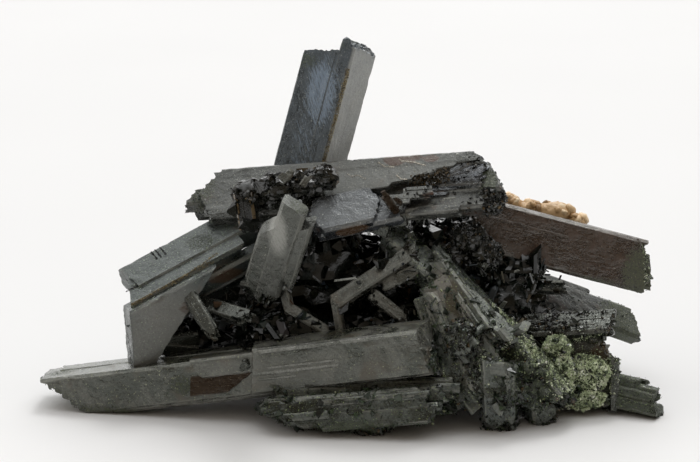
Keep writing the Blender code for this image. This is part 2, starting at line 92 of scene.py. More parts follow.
UPRIGHT_PRISM = [
    Crystal(
        base=(-8.3, 15.0, 18.7), tip=(-1.2, 18.1, 45.0), face=(-0.64, -0.77, 0.0), width=8.0, thick=5.4,
        tip_cuts=((-2.2, -0.25, 0.3),),
        laths=((-3.1, -0.04, 2.6, 5.5, 1.0, 0.5, 0.5), (3.4, -1.2, 1.6, 3.0, 4.0, -3.6, -0.5)),
        lean=-0.15, seed=3,
    )
]
UPPER_BLADE = [
    Crystal(
        base=(-20.3, 11.7, 25.0), tip=(17.4, 5.0, 29.5), face=(0.1, -0.62, 0.78), width=8.2, thick=2.4,
        base_cuts=((0.2, 0.8, 0.0), (0.2, -0.5, 0.0)),
        tip_cuts=((-3.2, 1.7, 0.0), (0.4, 0.15, -0.3), (1.8, -0.85, 0.0)),
        laths=(
            (-2.4, -1.9, 3.2, 2.4, 1.6, 1.0, 0.5),
            (0.9, -1.8, 5.0, 2.8, 0.4, 1.6, -0.4),
            (-4.0, -1.2, 1.5, 1.5, 27.0, -3.0, 0.3),
            (-2.9, -1.0, 2.2, 1.9, 2.4, -28.0, 0.4),
            (0.6, -1.3, 2.8, 2.4, -1.4, -30.0, -0.6),
        ),
        ribs=1, seed=12,
    ),
    Lump(centre=(18.2, 5.0, 26.6), radii=(2.4, 2.2, 2.2), seed=5),
]
LEFT_SLAB = [
    Crystal(
        base=(-29.9, 3.8, 11.9), tip=(-12.5, 10.0, 20.0), face=(-0.33, -0.5, 0.8), width=7.6, thick=7.0,
        base_cuts=((1.15, 0.36, 0.25),), tip_cuts=((-8.1, 0.0, 1.635), (0.0, 0.3, 0.2)),
        laths=(
            (1.0, 2.15, 5.4, 3.2, 2.3, 1.2, 0.2),
            (-3.5, 0.7, 2.2, 2.6, 8.5, 2.4, 0.6),
            (-3.4, -1.6, 1.8, 2.2, 5.0, -3.0, 0.5),
        ),
        seed=21,
    ),
    Crystal(  # the corner that hangs down over the front blade
        base=(-27.3, 0.2, 9.2), tip=(-16.9, 3.9, 14.0), face=(0.3, -0.95, 0.08), width=9.0, thick=4.4,
        base_cuts=((-1.76, 0.4, 0.0), (-5.7, -0.9, 0.0)), tip_cuts=((-6.7, 1.65, 0.1),), seed=22,
    ),
]
FRONT_BLADE = [
    Crystal(
        base=(-39.0, 1.1, 1.2), tip=(13.9, -7.6, 10.8), face=(-0.15, -0.97, 0.1), width=5.4, thick=6.6,
        base_cuts=((1.8, -1.07, 0.1),), tip_cuts=((-12.0, 0.5, 0.4),),
        laths=(
            (0.5, 0.6, 6.0, 6.6, 27.5, -3.4, -0.2),
            (1.6, -2.2, 2.4, 3.4, 1.2, -6.0, 0.4),
            (-2.0, 1.2, 2.2, 3.6, 7.6, -22.0, 0.7),
            (1.7, 3.0, 2.6, 1.2, 20.5, -8.0, 0.5),
        ),
        ribs=1, seed=31,
    )
]
RIGHT_PRISM = [
    Crystal(
        base=(16.0, 9.6, 22.4), tip=(38.6, 9.6, 16.3), face=(0.1, -0.97, 0.2), width=7.0, thick=5.0,
        base_cuts=((0.0, 0.2, 0.2),), tip_cuts=((0.2, -0.15, 0.2), (1.6, -0.8, 0.0)),
        laths=(
            (-2.2, 0.5, 2.4, 3.6, 9.0, 1.6, 0.5),
            (-0.6, -1.1, 4.6, 3.0, 2.0, 2.1, -0.3),
            (2.6, -1.4, 1.9, 2.4, 1.0, 0.6, 0.5),
        ),
        seed=41,
    )
]
NEAR_BLADE = [
    Crystal(
        base=(-10.9, -1.0, 15.2), tip=(-6.7, -9.2, 29.8), face=(-0.1, -1.0, 0.1), width=3.4, thick=2.5,
        base_cuts=((1.4, 0.0, 0.3),), tip_cuts=((0.0, 0.25, 0.3), (0.6, 0.8, 0.0)),
        laths=((1.9, 0.0, 2.8, 2.3, 1.2, -4.2, -1.3), (-2.0, -0.1, 2.0, 2.1, 4.4, -2.4, -0.9)),
        seed=51,
    )
]
HEX_PLATE = [
    Crystal(
        base=(-5.6, 2.2, 24.4), tip=(4.4, 4.6, 25.9), face=(-0.05, -0.62, 0.78), width=5.8, thick=2.6,
        base_cuts=((0.2, 0.5, 0.0), (0.2, -0.45, 0.0)), tip_cuts=((-0.6, 0.55, 0.0), (-0.2, -0.5, 0.0)),
        laths=((-1.9, -0.4, 2.0, 1.7, 1.4, 1.6, -0.4), (0.4, -1.2, 4.6, 2.2, 0.9, 0.8, 0.3)),
        seed=61,
    )
]
FRONT_SPLINTER = [
    Crystal(
        base=(-12.4, -9.1, 1.9), tip=(9.6, -10.6, 4.4), face=(0.0, -0.95, 0.3), width=4.2, thick=3.6,
        base_cuts=((2.0, -1.8, 0.3), (0.2, 0.9, 0.4)), tip_cuts=((0.0, 0.4, 0.2),),
        laths=((-1.3, 0.4, 2.6, 3.0, 8.0, 1.2, 0.6), (0.9, -0.9, 2.2, 3.0, 5.6, 2.4, -0.5)),
        ribs=3, seed=71,
    ),
    Crystal((-8.6, -6.2, 3.4), (13.6, -7.8, 4.4), (0.0, -0.95, 0.3), 4.6, 4.6,
            base_cuts=((0.0, -0.8, 0.0),), ribs=2, seed=72),
    Lump((2.6, -9.6, 1.9), (3.6, 2.4, 2.7), 73),
    Lump((-3.6, -9.4, 2.4), (3.4, 2.2, 2.2), 74),
]
# Sub-parallel laths that fan out as they come down to the front.
DIAGONAL_BUNDLE = [
    Crystal((5.5, 5.4, 21.4), (20.2, -6.0, 10.2), (0.35, -0.55, 0.75), 4.2, 3.0, ribs=2, seed=81),
    Crystal((10.6, 3.6, 19.4), (26.9, -7.4, 3.0), (0.72, -0.2, 0.66), 4.0, 3.4,
            tip_cuts=((0.0, 0.4, 0.2),), ribs=2, seed=82),
    Crystal((11.6, -0.4, 19.2), (17.0, -7.0, 12.6), (-0.35, -0.85, 0.35), 2.6, 1.8,
            tip_cuts=((0.0, 0.3, 0.2),), ribs=1, seed=83),
    Crystal((11.0, -1.2, 17.0), (20.4, -9.6, 3.4), (-0.2, -0.8, 0.55), 4.2, 3.6, ribs=2, seed=84),
    Crystal((10.2, -2.0, 15.6), (15.0, -8.8, 4.0), (-0.5, -0.8, 0.4), 3.6, 3.4, ribs=2, seed=85),
    Crystal((18.6, -8.4, 9.0), (19.2, -7.6, -0.6), (-0.1, -0.98, 0.1), 4.2, 3.6,
            base_cuts=((0.0, 0.3, -0.4),), ribs=2, seed=86),
    Crystal((23.2, -6.6, 8.0), (24.8, -5.4, -0.6), (0.3, -0.9, 0.3), 3.6, 3.6,
            base_cuts=((0.0, 0.3, -0.4),), ribs=2, seed=87),
    Lump((14.4, -6.6, 11.2), (2.8, 2.4, 3.2), 88),
    Lump((15.4, -7.6, 5.6), (3.0, 2.4, 3.6), 89),
    Lump((22.0, -7.0, 5.6), (3.4, 2.4, 3.2), 80),
]
RIGHT_BACK_BLADE = [
    Crystal(
        base=(22.6, 10.6, 13.0), tip=(38.6, 13.2, 6.4), face=(-0.1, -0.6, 0.8), width=4.6, thick=2.4,
        tip_cuts=((0.0, -0.4, 0.2),),
        laths=((1.8, -0.7, 2.6, 2.0, 4.0, -1.6, 0.5), (2.6, -0.2, 1.8, 1.6, 2.0, -7.0, 0.6)),
        seed=91,
    )
]
STUB_BLADE = [
    Crystal(
        base=(30.0, 0.4, 2.8), tip=(40.0, -3.2, 1.6), face=(0.1, -0.95, 0.3), width=3.6, thick=4.0,
        tip_cuts=((-0.6, 0.2, 0.1),),
        laths=((1.4, 0.2, 2.2, 3.6, 1.0, -2.4, 0.4), (-1.1, 0.6, 1.8, 3.4, 1.0, 0.6, -0.3),
               (0.3, 0.9, 1.4, 2.9, 1.0, -0.2, 0.4)),
        ribs=3, seed=101,
    )
]
COATED_BLOCK = [
    Crystal((23.2, 2.0, 9.7), (34.0, 0.5, 10.9), (0.0, -0.5, 0.85), 4.0, 2.4,
            tip_cuts=((0.0, 0.3, 0.3),), ribs=2, seed=111),
    Crystal((23.9, 2.4, 5.8), (34.3, 0.6, 6.1), (0.0, -0.95, 0.3), 6.6, 4.8,
            tip_cuts=((0.0, -0.1, 0.1), (0.2, -0.7, 0.0)), ribs=2, seed=112),
    Crystal((22.8, -1.0, 1.4), (34.5, -1.0, 1.0), (0.0, -0.9, 0.4), 2.2, 5.4,
            tip_cuts=((0.0, 0.3, -0.3),), ribs=1, seed=113),
    Crystal((33.8, -1.6, 6.6), (33.9, -2.6, 0.4), (0.4, -0.9, 0.1), 1.3, 3.4,
            base_cuts=((0.0, 0.6, -0.5),), seed=114),
]
GREEN_CRUST_LUMPS = [
    Lump((31.0, -2.6, 5.0), (3.5, 2.6, 3.2), 121),
    Lump((27.0, -3.0, 5.4), (3.4, 2.5, 3.2), 122),
    Lump((30.0, -3.2, 2.4), (4.8, 2.6, 2.5), 123),
    Lump((27.0, -1.6, 8.4), (2.6, 2.2, 2.0), 124),
]
FELDSPAR_GRAINS = [
    Lump((21.4, 13.8, 23.6), (2.2, 1.9, 1.7), 131),
    Lump((24.2, 14.0, 22.7), (2.6, 1.9, 1.5), 132),
    Lump((27.6, 13.8, 22.3), (3.1, 2.1, 1.9), 133),
    Lump((30.2, 13.8, 21.0), (2.2, 1.9, 1.5), 134),
]
GRAIN_CAP = [
    Lump((-12.8, 4.2, 27.6), (3.0, 2.6, 2.3), 141),
    Lump((-9.6, 3.4, 28.7), (3.1, 3.0, 2.2), 142),
    Lump((-6.2, 4.0, 28.9), (3.1, 2.6, 2.3), 143),
    Lump((-3.4, 4.8, 29.6), (2.3, 2.2, 2.1), 144),
    Crystal((-13.8, 3.6, 28.0), (-13.0, 2.6, 23.4), (-0.3, -0.95, 0.1), 2.6, 1.6, ribs=1, seed=145),
]
SPARK_LUMP = [
    Lump((15.6, 4.2, 21.6), (3.0, 2.6, 2.6), 151),
    Lump((17.6, 3.6, 19.6), (2.8, 2.4, 2.9), 152),
    Lump((14.0, 4.4, 19.0), (3.0, 2.6, 2.6), 153),
]
BACK_SLAB = [
    Crystal(
        base=(-25.0, 14.0, 5.0), tip=(3.0, 19.6, 16.6), face=(-0.1, 0.9, 0.42), width=9.0, thick=4.6,
        base_cuts=((1.0, 0.4, 0.2),), tip_cuts=((0.0, 0.5, 0.2),),
        laths=((-3.0, 0.6, 2.8, 4.0, -2.0, -9.0, 0.6), (2.8, -0.5, 3.0, 3.6, 6.0, 2.2, -0.5)),
        ribs=5, seed=161,
    )
]
BACK_BLADE = [
    Crystal(
        base=(24.0, 15.6, 1.5), tip=(-15.0, 20.2, 2.0), face=(0.0, 0.6, 0.8), width=6.4, thick=3.4,
        base_cuts=((0.0, 0.3, 0.3),), tip_cuts=((0.0, 0.7, 0.2),),
        laths=((-2.0, 0.2, 2.4, 2.8, 3.0, 2.6, 0.5), (2.0, 0.6, 2.6, 2.6, -2.4, -12.0, -0.6)),
        ribs=5, seed=171,
    )
]
REAR_PRISM = [
    Crystal(
        base=(3.0, 11.0, 15.6), tip=(12.4, 23.0, 22.8), face=(0.75, -0.6, 0.1), width=4.6, thick=4.2,
        tip_cuts=((0.0, 0.4, -0.2), (0.6, -0.7, 0.3)),
        laths=((1.6, 0.6, 1.8, 3.6, 3.0, -3.0, 0.5),),
        ribs=3, seed=181,
    )
]
LOW_REAR_PRISM = [
    Crystal(
        base=(10.0, 10.0, 9.0), tip=(24.4, 21.4, 8.4), face=(0.3, -0.3, 0.9), width=5.4, thick=4.0,
        tip_cuts=((0.0, 0.3, -0.3),),
        laths=((-1.8, 0.5, 2.2, 3.2, 3.0, 2.2, 0.6),),
        ribs=3, seed=191,
    )
]
# The mass that the large crystals stand in, and the small blades that show in its hollows.
JUMBLE = [
    Lump((-13.0, 8.4, 10.6), (10.0, 5.6, 7.0), 201),
    Lump((-4.0, 8.0, 15.6), (11.0, 5.6, 8.6), 202),
    Lump((8.0, 7.6, 14.6), (11.0, 6.4, 8.8), 203),
    Lump((19.0, 7.2, 11.0), (9.0, 6.0, 7.6), 204),
    Lump((3.0, 8.0, 7.4), (16.0, 8.4, 5.6), 205),
    Lump((-9.0, 1.2, 9.6), (7.0, 4.4, 4.6), 206),
    Lump((6.0, 0.0, 8.6), (8.4, 5.0, 5.0), 207),
    Lump((18.6, 1.0, 8.0), (7.0, 5.0, 5.4), 208),
    Lump((13.6, 8.8, 21.4), (4.4, 3.0, 2.8), 209),
    Lump((22.6, 7.6, 16.4), (4.4, 3.4, 2.8), 210),
    Lump((-21.4, 4.4, 7.6), (3.8, 3.2, 3.6), 200),
    Crystal((-1.9, -1.4, 14.6), (8.4, 2.0, 20.6), (-0.3, -0.75, 0.6), 2.2, 1.4, ribs=1, seed=211),
    Crystal((-1.9, -0.9, 15.0), (-1.0, -2.0, 9.6), (-0.5, -0.85, 0.1), 1.2, 1.2, seed=212),
    Crystal((-8.8, 1.2, 16.6), (-7.7, -0.4, 12.6), (-0.4, -0.9, 0.1), 1.3, 1.1, seed=213),
    Crystal((-8.0, -0.2, 13.4), (-1.8, -1.4, 9.8), (0.2, -0.75, 0.6), 1.5, 1.2, seed=214),
    Crystal((4.4, 0.2, 16.4), (9.6, 0.8, 18.8), (0.0, -0.8, 0.6), 1.8, 1.1, seed=215),
    Crystal((3.0, -0.6, 15.4), (7.0, -1.8, 12.4), (0.1, -0.8, 0.6), 1.6, 1.1, seed=216),
    Crystal((-21.6, 2.0, 15.6), (-17.4, -3.4, 10.6), (-0.2, -0.85, 0.5), 2.0, 1.6, seed=217),
    Crystal((-20.0, 3.0, 13.0), (-13.0, -1.6, 12.4), (0.3, -0.7, 0.6), 2.4, 1.6, seed=218),
    Crystal((-12.6, 2.6, 15.6), (-9.6, -1.6, 16.4), (0.0, -0.6, 0.8), 3.4, 3.2, seed=219),
]
BLADE_SPREAD = 26  # how many more small blades the jumble carries
BLADE_LUMPS = 8  # they grow on its first eight lumps
# Small blades that close the gaps under the large crystals, and three that join the grain cap to the blade
# behind it.
FILLERS = [
    Crystal((1.2, 4.4, 23.9), (5.0, 2.6, 22.9), (0.1, -0.97, -0.2), 1.6, 1.2, seed=1),
    Crystal((2.6, 4.8, 23.4), (7.4, 3.6, 24.4), (-0.1, -0.97, -0.1), 1.8, 1.2, seed=2),
    Crystal((-20.0, 2.8, 6.6), (-24.8, 1.2, 7.6), (0.1, -0.97, -0.2), 2.0, 1.4, seed=3),
    Crystal((-20.0, 2.4, 8.6), (-24.4, 1.4, 8.2), (0.2, -0.97, -0.1), 1.8, 1.2, seed=4),
    Crystal((-12.4, 7.4, 25.4), (-12.0, 4.2, 28.0), (0.1, -0.7, -0.7), 3.0, 2.4, seed=5),
    Crystal((-8.6, 7.0, 25.6), (-9.0, 3.8, 28.8), (-0.1, -0.7, -0.7), 3.4, 2.4, seed=6),
    Crystal((-4.6, 7.0, 26.0), (-5.2, 4.2, 29.0), (0.1, -0.7, -0.7), 3.2, 2.4, seed=7),
]


def frame_of(crystal):
    """The crystal's own frame, with its origin at the base, and its length."""
    base, tip = Vector(crystal.base), Vector(crystal.tip)
    along = (tip - base).normalized()
    out = Vector(crystal.face)
    out = (out - along * out.dot(along)).normalized()
    across = out.cross(along)
    turn = Matrix((across, out, along)).transposed().to_4x4()
    return Matrix.Translation(base) @ turn, (tip - base).length


def ribs_of(crystal, length):
    """Thin laths that stand a little proud of the broad faces, near one end or the other."""
    rng = random.Random(crystal.seed)
    found = []
    for _ in range(crystal.ribs):
        side = rng.choice((1, 1, -1))
        width = crystal.width * rng.uniform(0.14, 0.32)
        x = (crystal.width - 0.6 * width) / 2 * rng.uniform(-1, 1)
        thick = crystal.thick * rng.uniform(0.35, 0.6)
        y = side * (crystal.thick / 2 + rng.uniform(0.2, 0.5) - thick / 2)
        slope = rng.uniform(-0.7, 0.7)
        if rng.random() < 0.5:
            start, end = length * rng.uniform(0.35, 0.75), length
        else:
            start, end = 0.0, length * rng.uniform(0.25, 0.65)
        over = rng.uniform(-1.2, 0.5)
        bases = tuple((z - over, across, out) for z, across, out in crystal.base_cuts)
        tips = tuple((length + z + over, across, out) for z, across, out in crystal.tip_cuts)
        found.append(
            Lath(x, y, width, thick, (*bases, (start, -slope, 0.3)), (*tips, (end, slope, 0.2)))
        )
    return found


def laths_of(crystal, length):
    """Every lath of the crystal, the main one first."""
    tips = tuple((length + z, across, out) for z, across, out in crystal.tip_cuts)
    found = [Lath(0.0, 0.0, crystal.width, crystal.thick, crystal.base_cuts, tips)]
    for x, y, width, thick, start, end, slope in crystal.laths:
        low = (start + slope * x - 0.15 * y, -slope, 0.15)
        high = (length + end - slope * x + crystal.lean * y, slope, -crystal.lean)
        found.append(Lath(x, y, width, thick, (low,), (high,)))
    return found + ribs_of(crystal, length)


def section_of(lath):
    """The lath's outline, a rectangle with cut corners."""
    a, b = lath.width / 2, lath.thick / 2
    cut = min(CHAMFER * min(lath.width, lath.thick), WIDEST_CHAMFER)
    corners = [(a, b - cut), (a - cut, b), (cut - a, b), (-a, b - cut)]
    corners += [(-a, cut - b), (cut - a, -b), (a - cut, -b), (a, cut - b)]
    return [(lath.x + x, lath.y + y) for x, y in corners]


def random_vector(rng, spread=1.0):
    """A vector that points any way."""
    return Vector([rng.gauss(0, spread) for _ in range(3)])


def stray_blades():
    """Small blades that stick out of the jumble all round, half of them towards the front."""
    rng = random.Random(220)
    found = []
    while len(found) < BLADE_SPREAD:
        lump = rng.choice(JUMBLE[:BLADE_LUMPS])
        way = random_vector(rng).normalized()
        if rng.random() < 0.5:
            way.y = -abs(way.y)
        root = Vector(lump.centre) + Vector([w * r * 0.7 for w, r in zip(way, lump.radii)])
        lean = (way + random_vector(rng, 0.6)).normalized()
        tip = root + lean * rng.uniform(4.0, 8.0)
        if tip.z < 1.0:
            continue
        face = random_vector(rng)
        width, thick = rng.uniform(1.4, 2.8), rng.uniform(0.9, 1.6)
        found.append(Crystal(tuple(root), tuple(tip), tuple(face), width, thick))
    return found


# ---------------------------------------------------------------- numbers that look random


def hashed(cells, seed):
    """A number from 0 to 1 for each row of whole numbers, always the same one."""
    mixed = np.full(cells.shape[:-1], (seed * 2654435761 + 12345) % 2**32, np.uint64)
    for i in range(cells.shape[-1]):
        mixed = (mixed ^ cells[..., i].astype(np.int64).astype(np.uint64)) * np.uint64(0x9E3779B97F4A7C15)
        mixed ^= mixed >> np.uint64(29)
    return (mixed >> np.uint64(11)).astype(float) / 2.0**53


def smooth_noise(points, seed):
    """Value noise from 0 to 1 at rows of points, in as many dimensions as they have."""
    points = np.asarray(points, float)
    cell = np.floor(points)
    part = points - cell
    part = part * part * (3 - 2 * part)
    total = np.zeros(points.shape[:-1])
    for corner in range(2 ** points.shape[-1]):
        offset = np.array([corner >> i & 1 for i in range(points.shape[-1])])
        weight = np.prod(np.where(offset, part, 1 - part), axis=-1)
        total += weight * hashed(cell + offset, seed)
    return total


def cell_noise(points, seed):
    """The same number all over each unit cell."""
    return hashed(np.floor(np.asarray(points, float)), seed)


# ---------------------------------------------------------------- meshes


# The channels of the marks: stains and green dirt are the crystals' own colour; the second channel paints a
# film, partly as painted sheen, and the last paints faces duller and partly paler as painted light.
CHANNELS = ("stain", "film", "green", "matt")
SOFT_EDGE = 0.5  # the outer share of a mark in which it fades


def marks_at(points, normals, marks):
    """How strong each channel is at each point.

    A mark is (channel, centre, radii, strength), and a direction if it lies only on faces that look
    that way."""
    found = np.zeros((len(points), len(CHANNELS)))
    for channel, centre, radii, strength, *facing in marks:
        far = np.linalg.norm((points - centre) / radii, axis=1)
        here = strength * np.clip((1.0 - far) / SOFT_EDGE, 0, 1)
        for direction in facing:
            towards = normals @ (np.array(direction) / np.linalg.norm(direction))
            here = here * np.clip((towards - 0.6) / 0.2, 0, 1)
        index = CHANNELS.index(channel)
        found[:, index] = np.maximum(found[:, index], here)
    return found


def placed(points, matrix):
    """Points of a crystal's own frame, in the layout."""
    return points @ np.array(matrix.to_3x3()).T + np.array(matrix.translation)


class Heap:
    """Vertices and faces that are gathered, and then made into one piece."""

    def __init__(self):
        self.verts, self.faces, self.own, self.tone = [], [], [], []
        self.count = 0

    def add(self, verts, faces, own, tone):
        """own places each vertex in its crystal's frame, and tone is a number from 0 to 1 for its colour."""
        self.verts.append(verts)
        self.own.append(own)
        self.tone.append(np.broadcast_to(tone, len(verts)))
        self.faces += [f + self.count for f in faces if len(f)]
        self.count += len(verts)

    def piece(self, name, material, slot, nodes=(), sharp=28, marks=()):
        """The gathered mesh as a piece of the object, in place of the named nodes."""
        verts = np.concatenate(self.verts)
        points = verts.copy()
        verts[:, 2] = np.maximum(verts[:, 2], 0.0)
        verts = (verts - (*BOX_CENTRE, 0.0)) * MM
        mesh = bpy.data.meshes.new(name)
        mesh.vertices.add(len(verts))
        mesh.vertices.foreach_set("co", verts.astype(np.float32).ravel())
        loops = np.concatenate([f.ravel() for f in self.faces]).astype(np.int32)
        sides = np.concatenate([np.full(len(f), f.shape[1]) for f in self.faces])
        mesh.loops.add(len(loops))
        mesh.loops.foreach_set("vertex_index", loops)
        mesh.polygons.add(len(sides))
        starts = np.concatenate([[0], np.cumsum(sides)[:-1]]).astype(np.int32)
        mesh.polygons.foreach_set("loop_start", starts)
        mesh.update(calc_edges=True)
        mesh.validate()
        own = mesh.attributes.new("own", "FLOAT_VECTOR", "POINT")
        own.data.foreach_set("vector", np.concatenate(self.own).astype(np.float32).ravel())
        tone = mesh.attributes.new("tone", "FLOAT", "POINT")
        tone.data.foreach_set("value", np.concatenate(self.tone).astype(np.float32))
        normals = np.zeros(len(points) * 3, np.float32)
        mesh.vertex_normals.foreach_get("vector", normals)
        strengths = marks_at(points, normals.reshape(-1, 3), marks)
        for channel, values in zip(CHANNELS, strengths.T):
            layer = mesh.attributes.new(channel, "FLOAT", "POINT")
            layer.data.foreach_set("value", values.astype(np.float32))
        mesh.shade_smooth()
        mesh.set_sharp_from_angle(angle=math.radians(sharp))
        made = bpy.data.objects.new(name, mesh)
        bpy.context.scene.collection.objects.link(made)
        mesh.materials.append(material)
        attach(made, "root")
        if nodes:
            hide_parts(*nodes)
        return made


# ---------------------------------------------------------------- crystals in detail


STRIPS = (0.3, 0.9, 1.8, 2.8, 4.0)  # how wide the strips of a face are, before they vary
LEAST_STRIP = 0.25
STRIPED_FACE = 0.8  # a narrower face is one strip
WALL = 0.012  # how wide the step between two strips is
STEP_X, STEP_Y = 0.85, 1.3  # the steps in which a lath's end breaks off
BREAK_EVERY = 8.0  # a strip may change its depth about once in this length
BREAK = 0.06  # how long that change takes
CORNER = 0.45  # how far from an edge it is chipped
BASE, TIP = 50, 90  # the noise of each end


def columns_of(lath, rng, pitch):
    """Points round a lath's section, with their strips: each strip of a face stands at its own depth."""
    corners = [np.array(c) for c in section_of(lath)]
    rows, strips = [], 0
    for number, (start, end) in enumerate(zip(corners, corners[1:] + corners[:1])):
        run = np.linalg.norm(end - start)
        along = (end - start) / run
        out = np.array((along[1], -along[0]))
        cuts = [0.0]
        while run > STRIPED_FACE and cuts[-1] < run - LEAST_STRIP:
            cuts.append(min(run, cuts[-1] + rng.choice(STRIPS) * rng.uniform(0.7, 1.3)))
        cuts = cuts[:-1] + [run] if len(cuts) > 2 else [0.0, run]
        for first, last in zip(cuts, cuts[1:]):
            edge = first == 0.0 or last == run
            steps = max(1, round((last - first) / pitch))
            low, high = first + (WALL if first else 0.0), last - (WALL if last < run else 0.0)
            for s in np.linspace(low, high, steps + 1)[: None if last < run else -1]:
                x, y = start + along * s
                rows.append((x, y, *out, strips, min(s, run - s), number, edge))
            strips += 1
    return np.array(rows), strips


class Ends:
    """A lath's two ends, which broke off along its planes in small steps."""

    def __init__(self, lath, seed, rough, terrace):
        self.lath, self.seed, self.rough, self.terrace = lath, seed, rough, terrace

    def level(self, x, y, which):
        """How high the end's planes are, in steps."""
        shift = cell_noise(np.stack([y / STEP_Y, y * 0], -1), self.seed + 31)
        near_x = (np.floor(x / STEP_X + shift) + 0.5 - shift) * STEP_X
        near_y = (np.floor(y / STEP_Y) + 0.5) * STEP_Y
        x, y = x + self.terrace * (near_x - x), y + self.terrace * (near_y - y)
        inward = self.terrace * 0.2
        if which == BASE:
            planes = [z + a * x + b * y + inward * (abs(a) + abs(b)) for z, a, b in self.lath.base_cuts]
            return np.max(planes, axis=0)
        planes = [z + a * x + b * y - inward * (abs(a) + abs(b)) for z, a, b in self.lath.tip_cuts]
        return np.min(planes, axis=0)

    def hackle(self, x, y, which):
        """How far the broken surface stands out from those planes."""
        seed = self.seed + which
        cells = np.stack([x / 0.35 + y * 0.2, y / 0.6 - x * 0.15], -1)
        coarse = np.stack([x / 1.5 + y * 0.15, y / 1.9], -1)
        fine = np.stack([x / 0.2, y / 0.2], -1)
        jag = 0.3 * cell_noise(cells, seed) + 0.7 * cell_noise(coarse, seed + 7)
        return self.rough * (0.45 - 0.9 * jag + 0.12 * smooth_noise(fine, seed + 3))


def strip_depths(strips, spans, groove, rng):
    """How deep each strip stands in each span between two breaks."""
    depths = np.zeros((strips, spans))
    for k in range(strips):
        depth = rng.choice((0.0, 0.0, 0.0, 1.0)) * groove
        for j in range(spans):
            if rng.random() < 0.2:
                depth = rng.choice((0.0, 0.0, 0.0, 1.0, 2.0)) * groove
            depths[k, j] = depth
    return depths


def noise_along(column, z, seed):
    """Smooth noise up each column of points, from the column's own number or numbers."""
    return smooth_noise(np.stack(np.broadcast_arrays(*column, z), -1), seed)


def nicks(corner, inset, z, chips, seed):
    """How much is chipped off at each point near an edge, in runs of large and of tiny chips."""
    large, tiny = (noise_along((corner[None],), z * scale, seed + 17 + scale) for scale in (1, 4))
    where = noise_along((corner[None],), z * 0.17, seed + 23)
    run = 1.6 * np.clip((large - 0.72) / 0.16, 0, 1) * (0.5 + tiny) * np.clip((where - 0.4) * 3, 0, 1)
    nick = chips * (run + 0.5 * np.clip((tiny - 0.6) / 0.3, 0, 1))
    return nick * np.clip(1 - inset / CORNER, 0, 1)


def end_face(ends, which, rim, rim_spots, middle, rounds, limit, total):
    """Rings of points from the rim in to the middle, and their faces, numbered from total."""
    flip = which == BASE
    around = len(rim)
    verts, faces = [], []
    for share in np.linspace(1, 0, rounds + 1)[1:-1]:
        spot = middle + (rim_spots - middle) * share
        jag = ends.hackle(*spot.T, which)
        height = ends.level(*spot.T, which) + (-jag if flip else jag)
        height = np.minimum(height, limit) if flip else np.maximum(height, limit)
        verts.append(np.column_stack([spot, height]))
        new = total + np.arange(around)
        total += around
        faces.append(np.stack([rim, np.roll(rim, -1), np.roll(new, -1), new], -1))
        rim = new
    verts.append(np.array([[*middle, float(verts[-1][:, 2].mean())]]))
    faces.append(np.stack([rim, np.roll(rim, -1), np.full(around, total)], -1))
    return verts, [f[:, ::-1] if flip else f for f in faces]


def lath_surface(heap, lath, matrix, seed, rough, groove, chips, pitch=0.3, ring=0.62, terrace=0.8):
    """Adds one lath: striated faces, chipped edges, and ends that broke off in steps."""
    rng = random.Random(seed)
    rows, strips = columns_of(lath, rng, pitch)
    x, y, nx, ny = rows[:, 0], rows[:, 1], rows[:, 2], rows[:, 3]
    strip, inset, side, edge = rows[:, 4].astype(int), rows[:, 5], rows[:, 6], rows[:, 7] > 0
    ends = Ends(lath, seed, rough, terrace)
    low = ends.level(x, y, BASE)
    high = np.maximum(ends.level(x, y, TIP), low + 0.05)
    length = float(np.max(high) - np.min(low))

    breaks = sorted(rng.uniform(0.06, 0.94) for _ in range(max(1, int(length / BREAK_EVERY))))
    rings = list(np.linspace(0, 1, max(3, round(length / ring)) + 1))
    for spot in breaks:
        rings += [spot - BREAK / 2 / length, spot + BREAK / 2 / length]
    rings = np.array(sorted(rings))
    depths = strip_depths(strips, len(breaks) + 1, groove, rng)
    depth = depths[strip[None, :], np.searchsorted(breaks, rings)[:, None]]
    depth = depth * np.where(edge, 0.3, 1.0) * np.clip(inset / 0.03, 0, 1)

    low = low - ends.hackle(x, y, BASE)
    high = np.maximum(high + ends.hackle(x, y, TIP), low + 0.1)
    z = low + (high - low) * rings[:, None]
    swell = noise_along((x[None] * 0.5 + side * 9, y[None] * 0.5), z * 0.13, seed + 11)
    depth = depth + 0.05 * (swell - 0.5) * (min(lath.width, lath.thick) > 1.5)
    middle = np.array((lath.x, lath.y))
    toward = np.stack([x - middle[0], y - middle[1]])
    nick = nicks(np.sign(toward[0]) * 5 + np.sign(toward[1]) * 11, inset, z, chips, seed)
    toward = toward / np.linalg.norm(toward, axis=0)
    px = x[None] - nx[None] * depth - toward[0][None] * nick
    py = y[None] - ny[None] * depth - toward[1][None] * nick

    count, around = len(rings), len(x)
    grid = np.arange(count * around).reshape(count, around)
    after = np.roll(grid, -1, axis=1)
    faces = [np.stack([grid[:-1], after[:-1], after[1:], grid[1:]], -1).reshape(-1, 4)]
    verts = [np.stack([px, py, z], -1).reshape(-1, 3)]
    rounds = max(5, round(max(lath.width, lath.thick) / 0.9))
    for row, which, limit in ((0, BASE, high.max()), (-1, TIP, low.min() + 0.1)):
        rim_spots = np.stack([px[row], py[row]], -1)
        total = sum(len(v) for v in verts)
        more_verts, more_faces = end_face(ends, which, grid[row], rim_spots, middle, rounds, limit, total)
        verts += more_verts
        faces += more_faces
    verts = np.concatenate(verts)
    # Corners and bevels get tone 1, which the material paints paler: partly wear, partly a painted highlight.
    worn_and_lit = np.zeros(len(verts))
    worn_and_lit[: count * around] = np.tile((inset == 0) | (side % 2 == 0), count)
    heap.add(placed(verts, matrix), faces, verts + (seed % 97) * 3.7, worn_and_lit)


def wedge(seed, least=0.5, most=1.6):
    """Two breaks that meet along the end of a crystal's main lath."""
    rng = random.Random(seed)
    return [(0, 0.1, way * rng.uniform(least, most), rng.uniform(-0.8, 0.8)) for way in (-1, 1)]


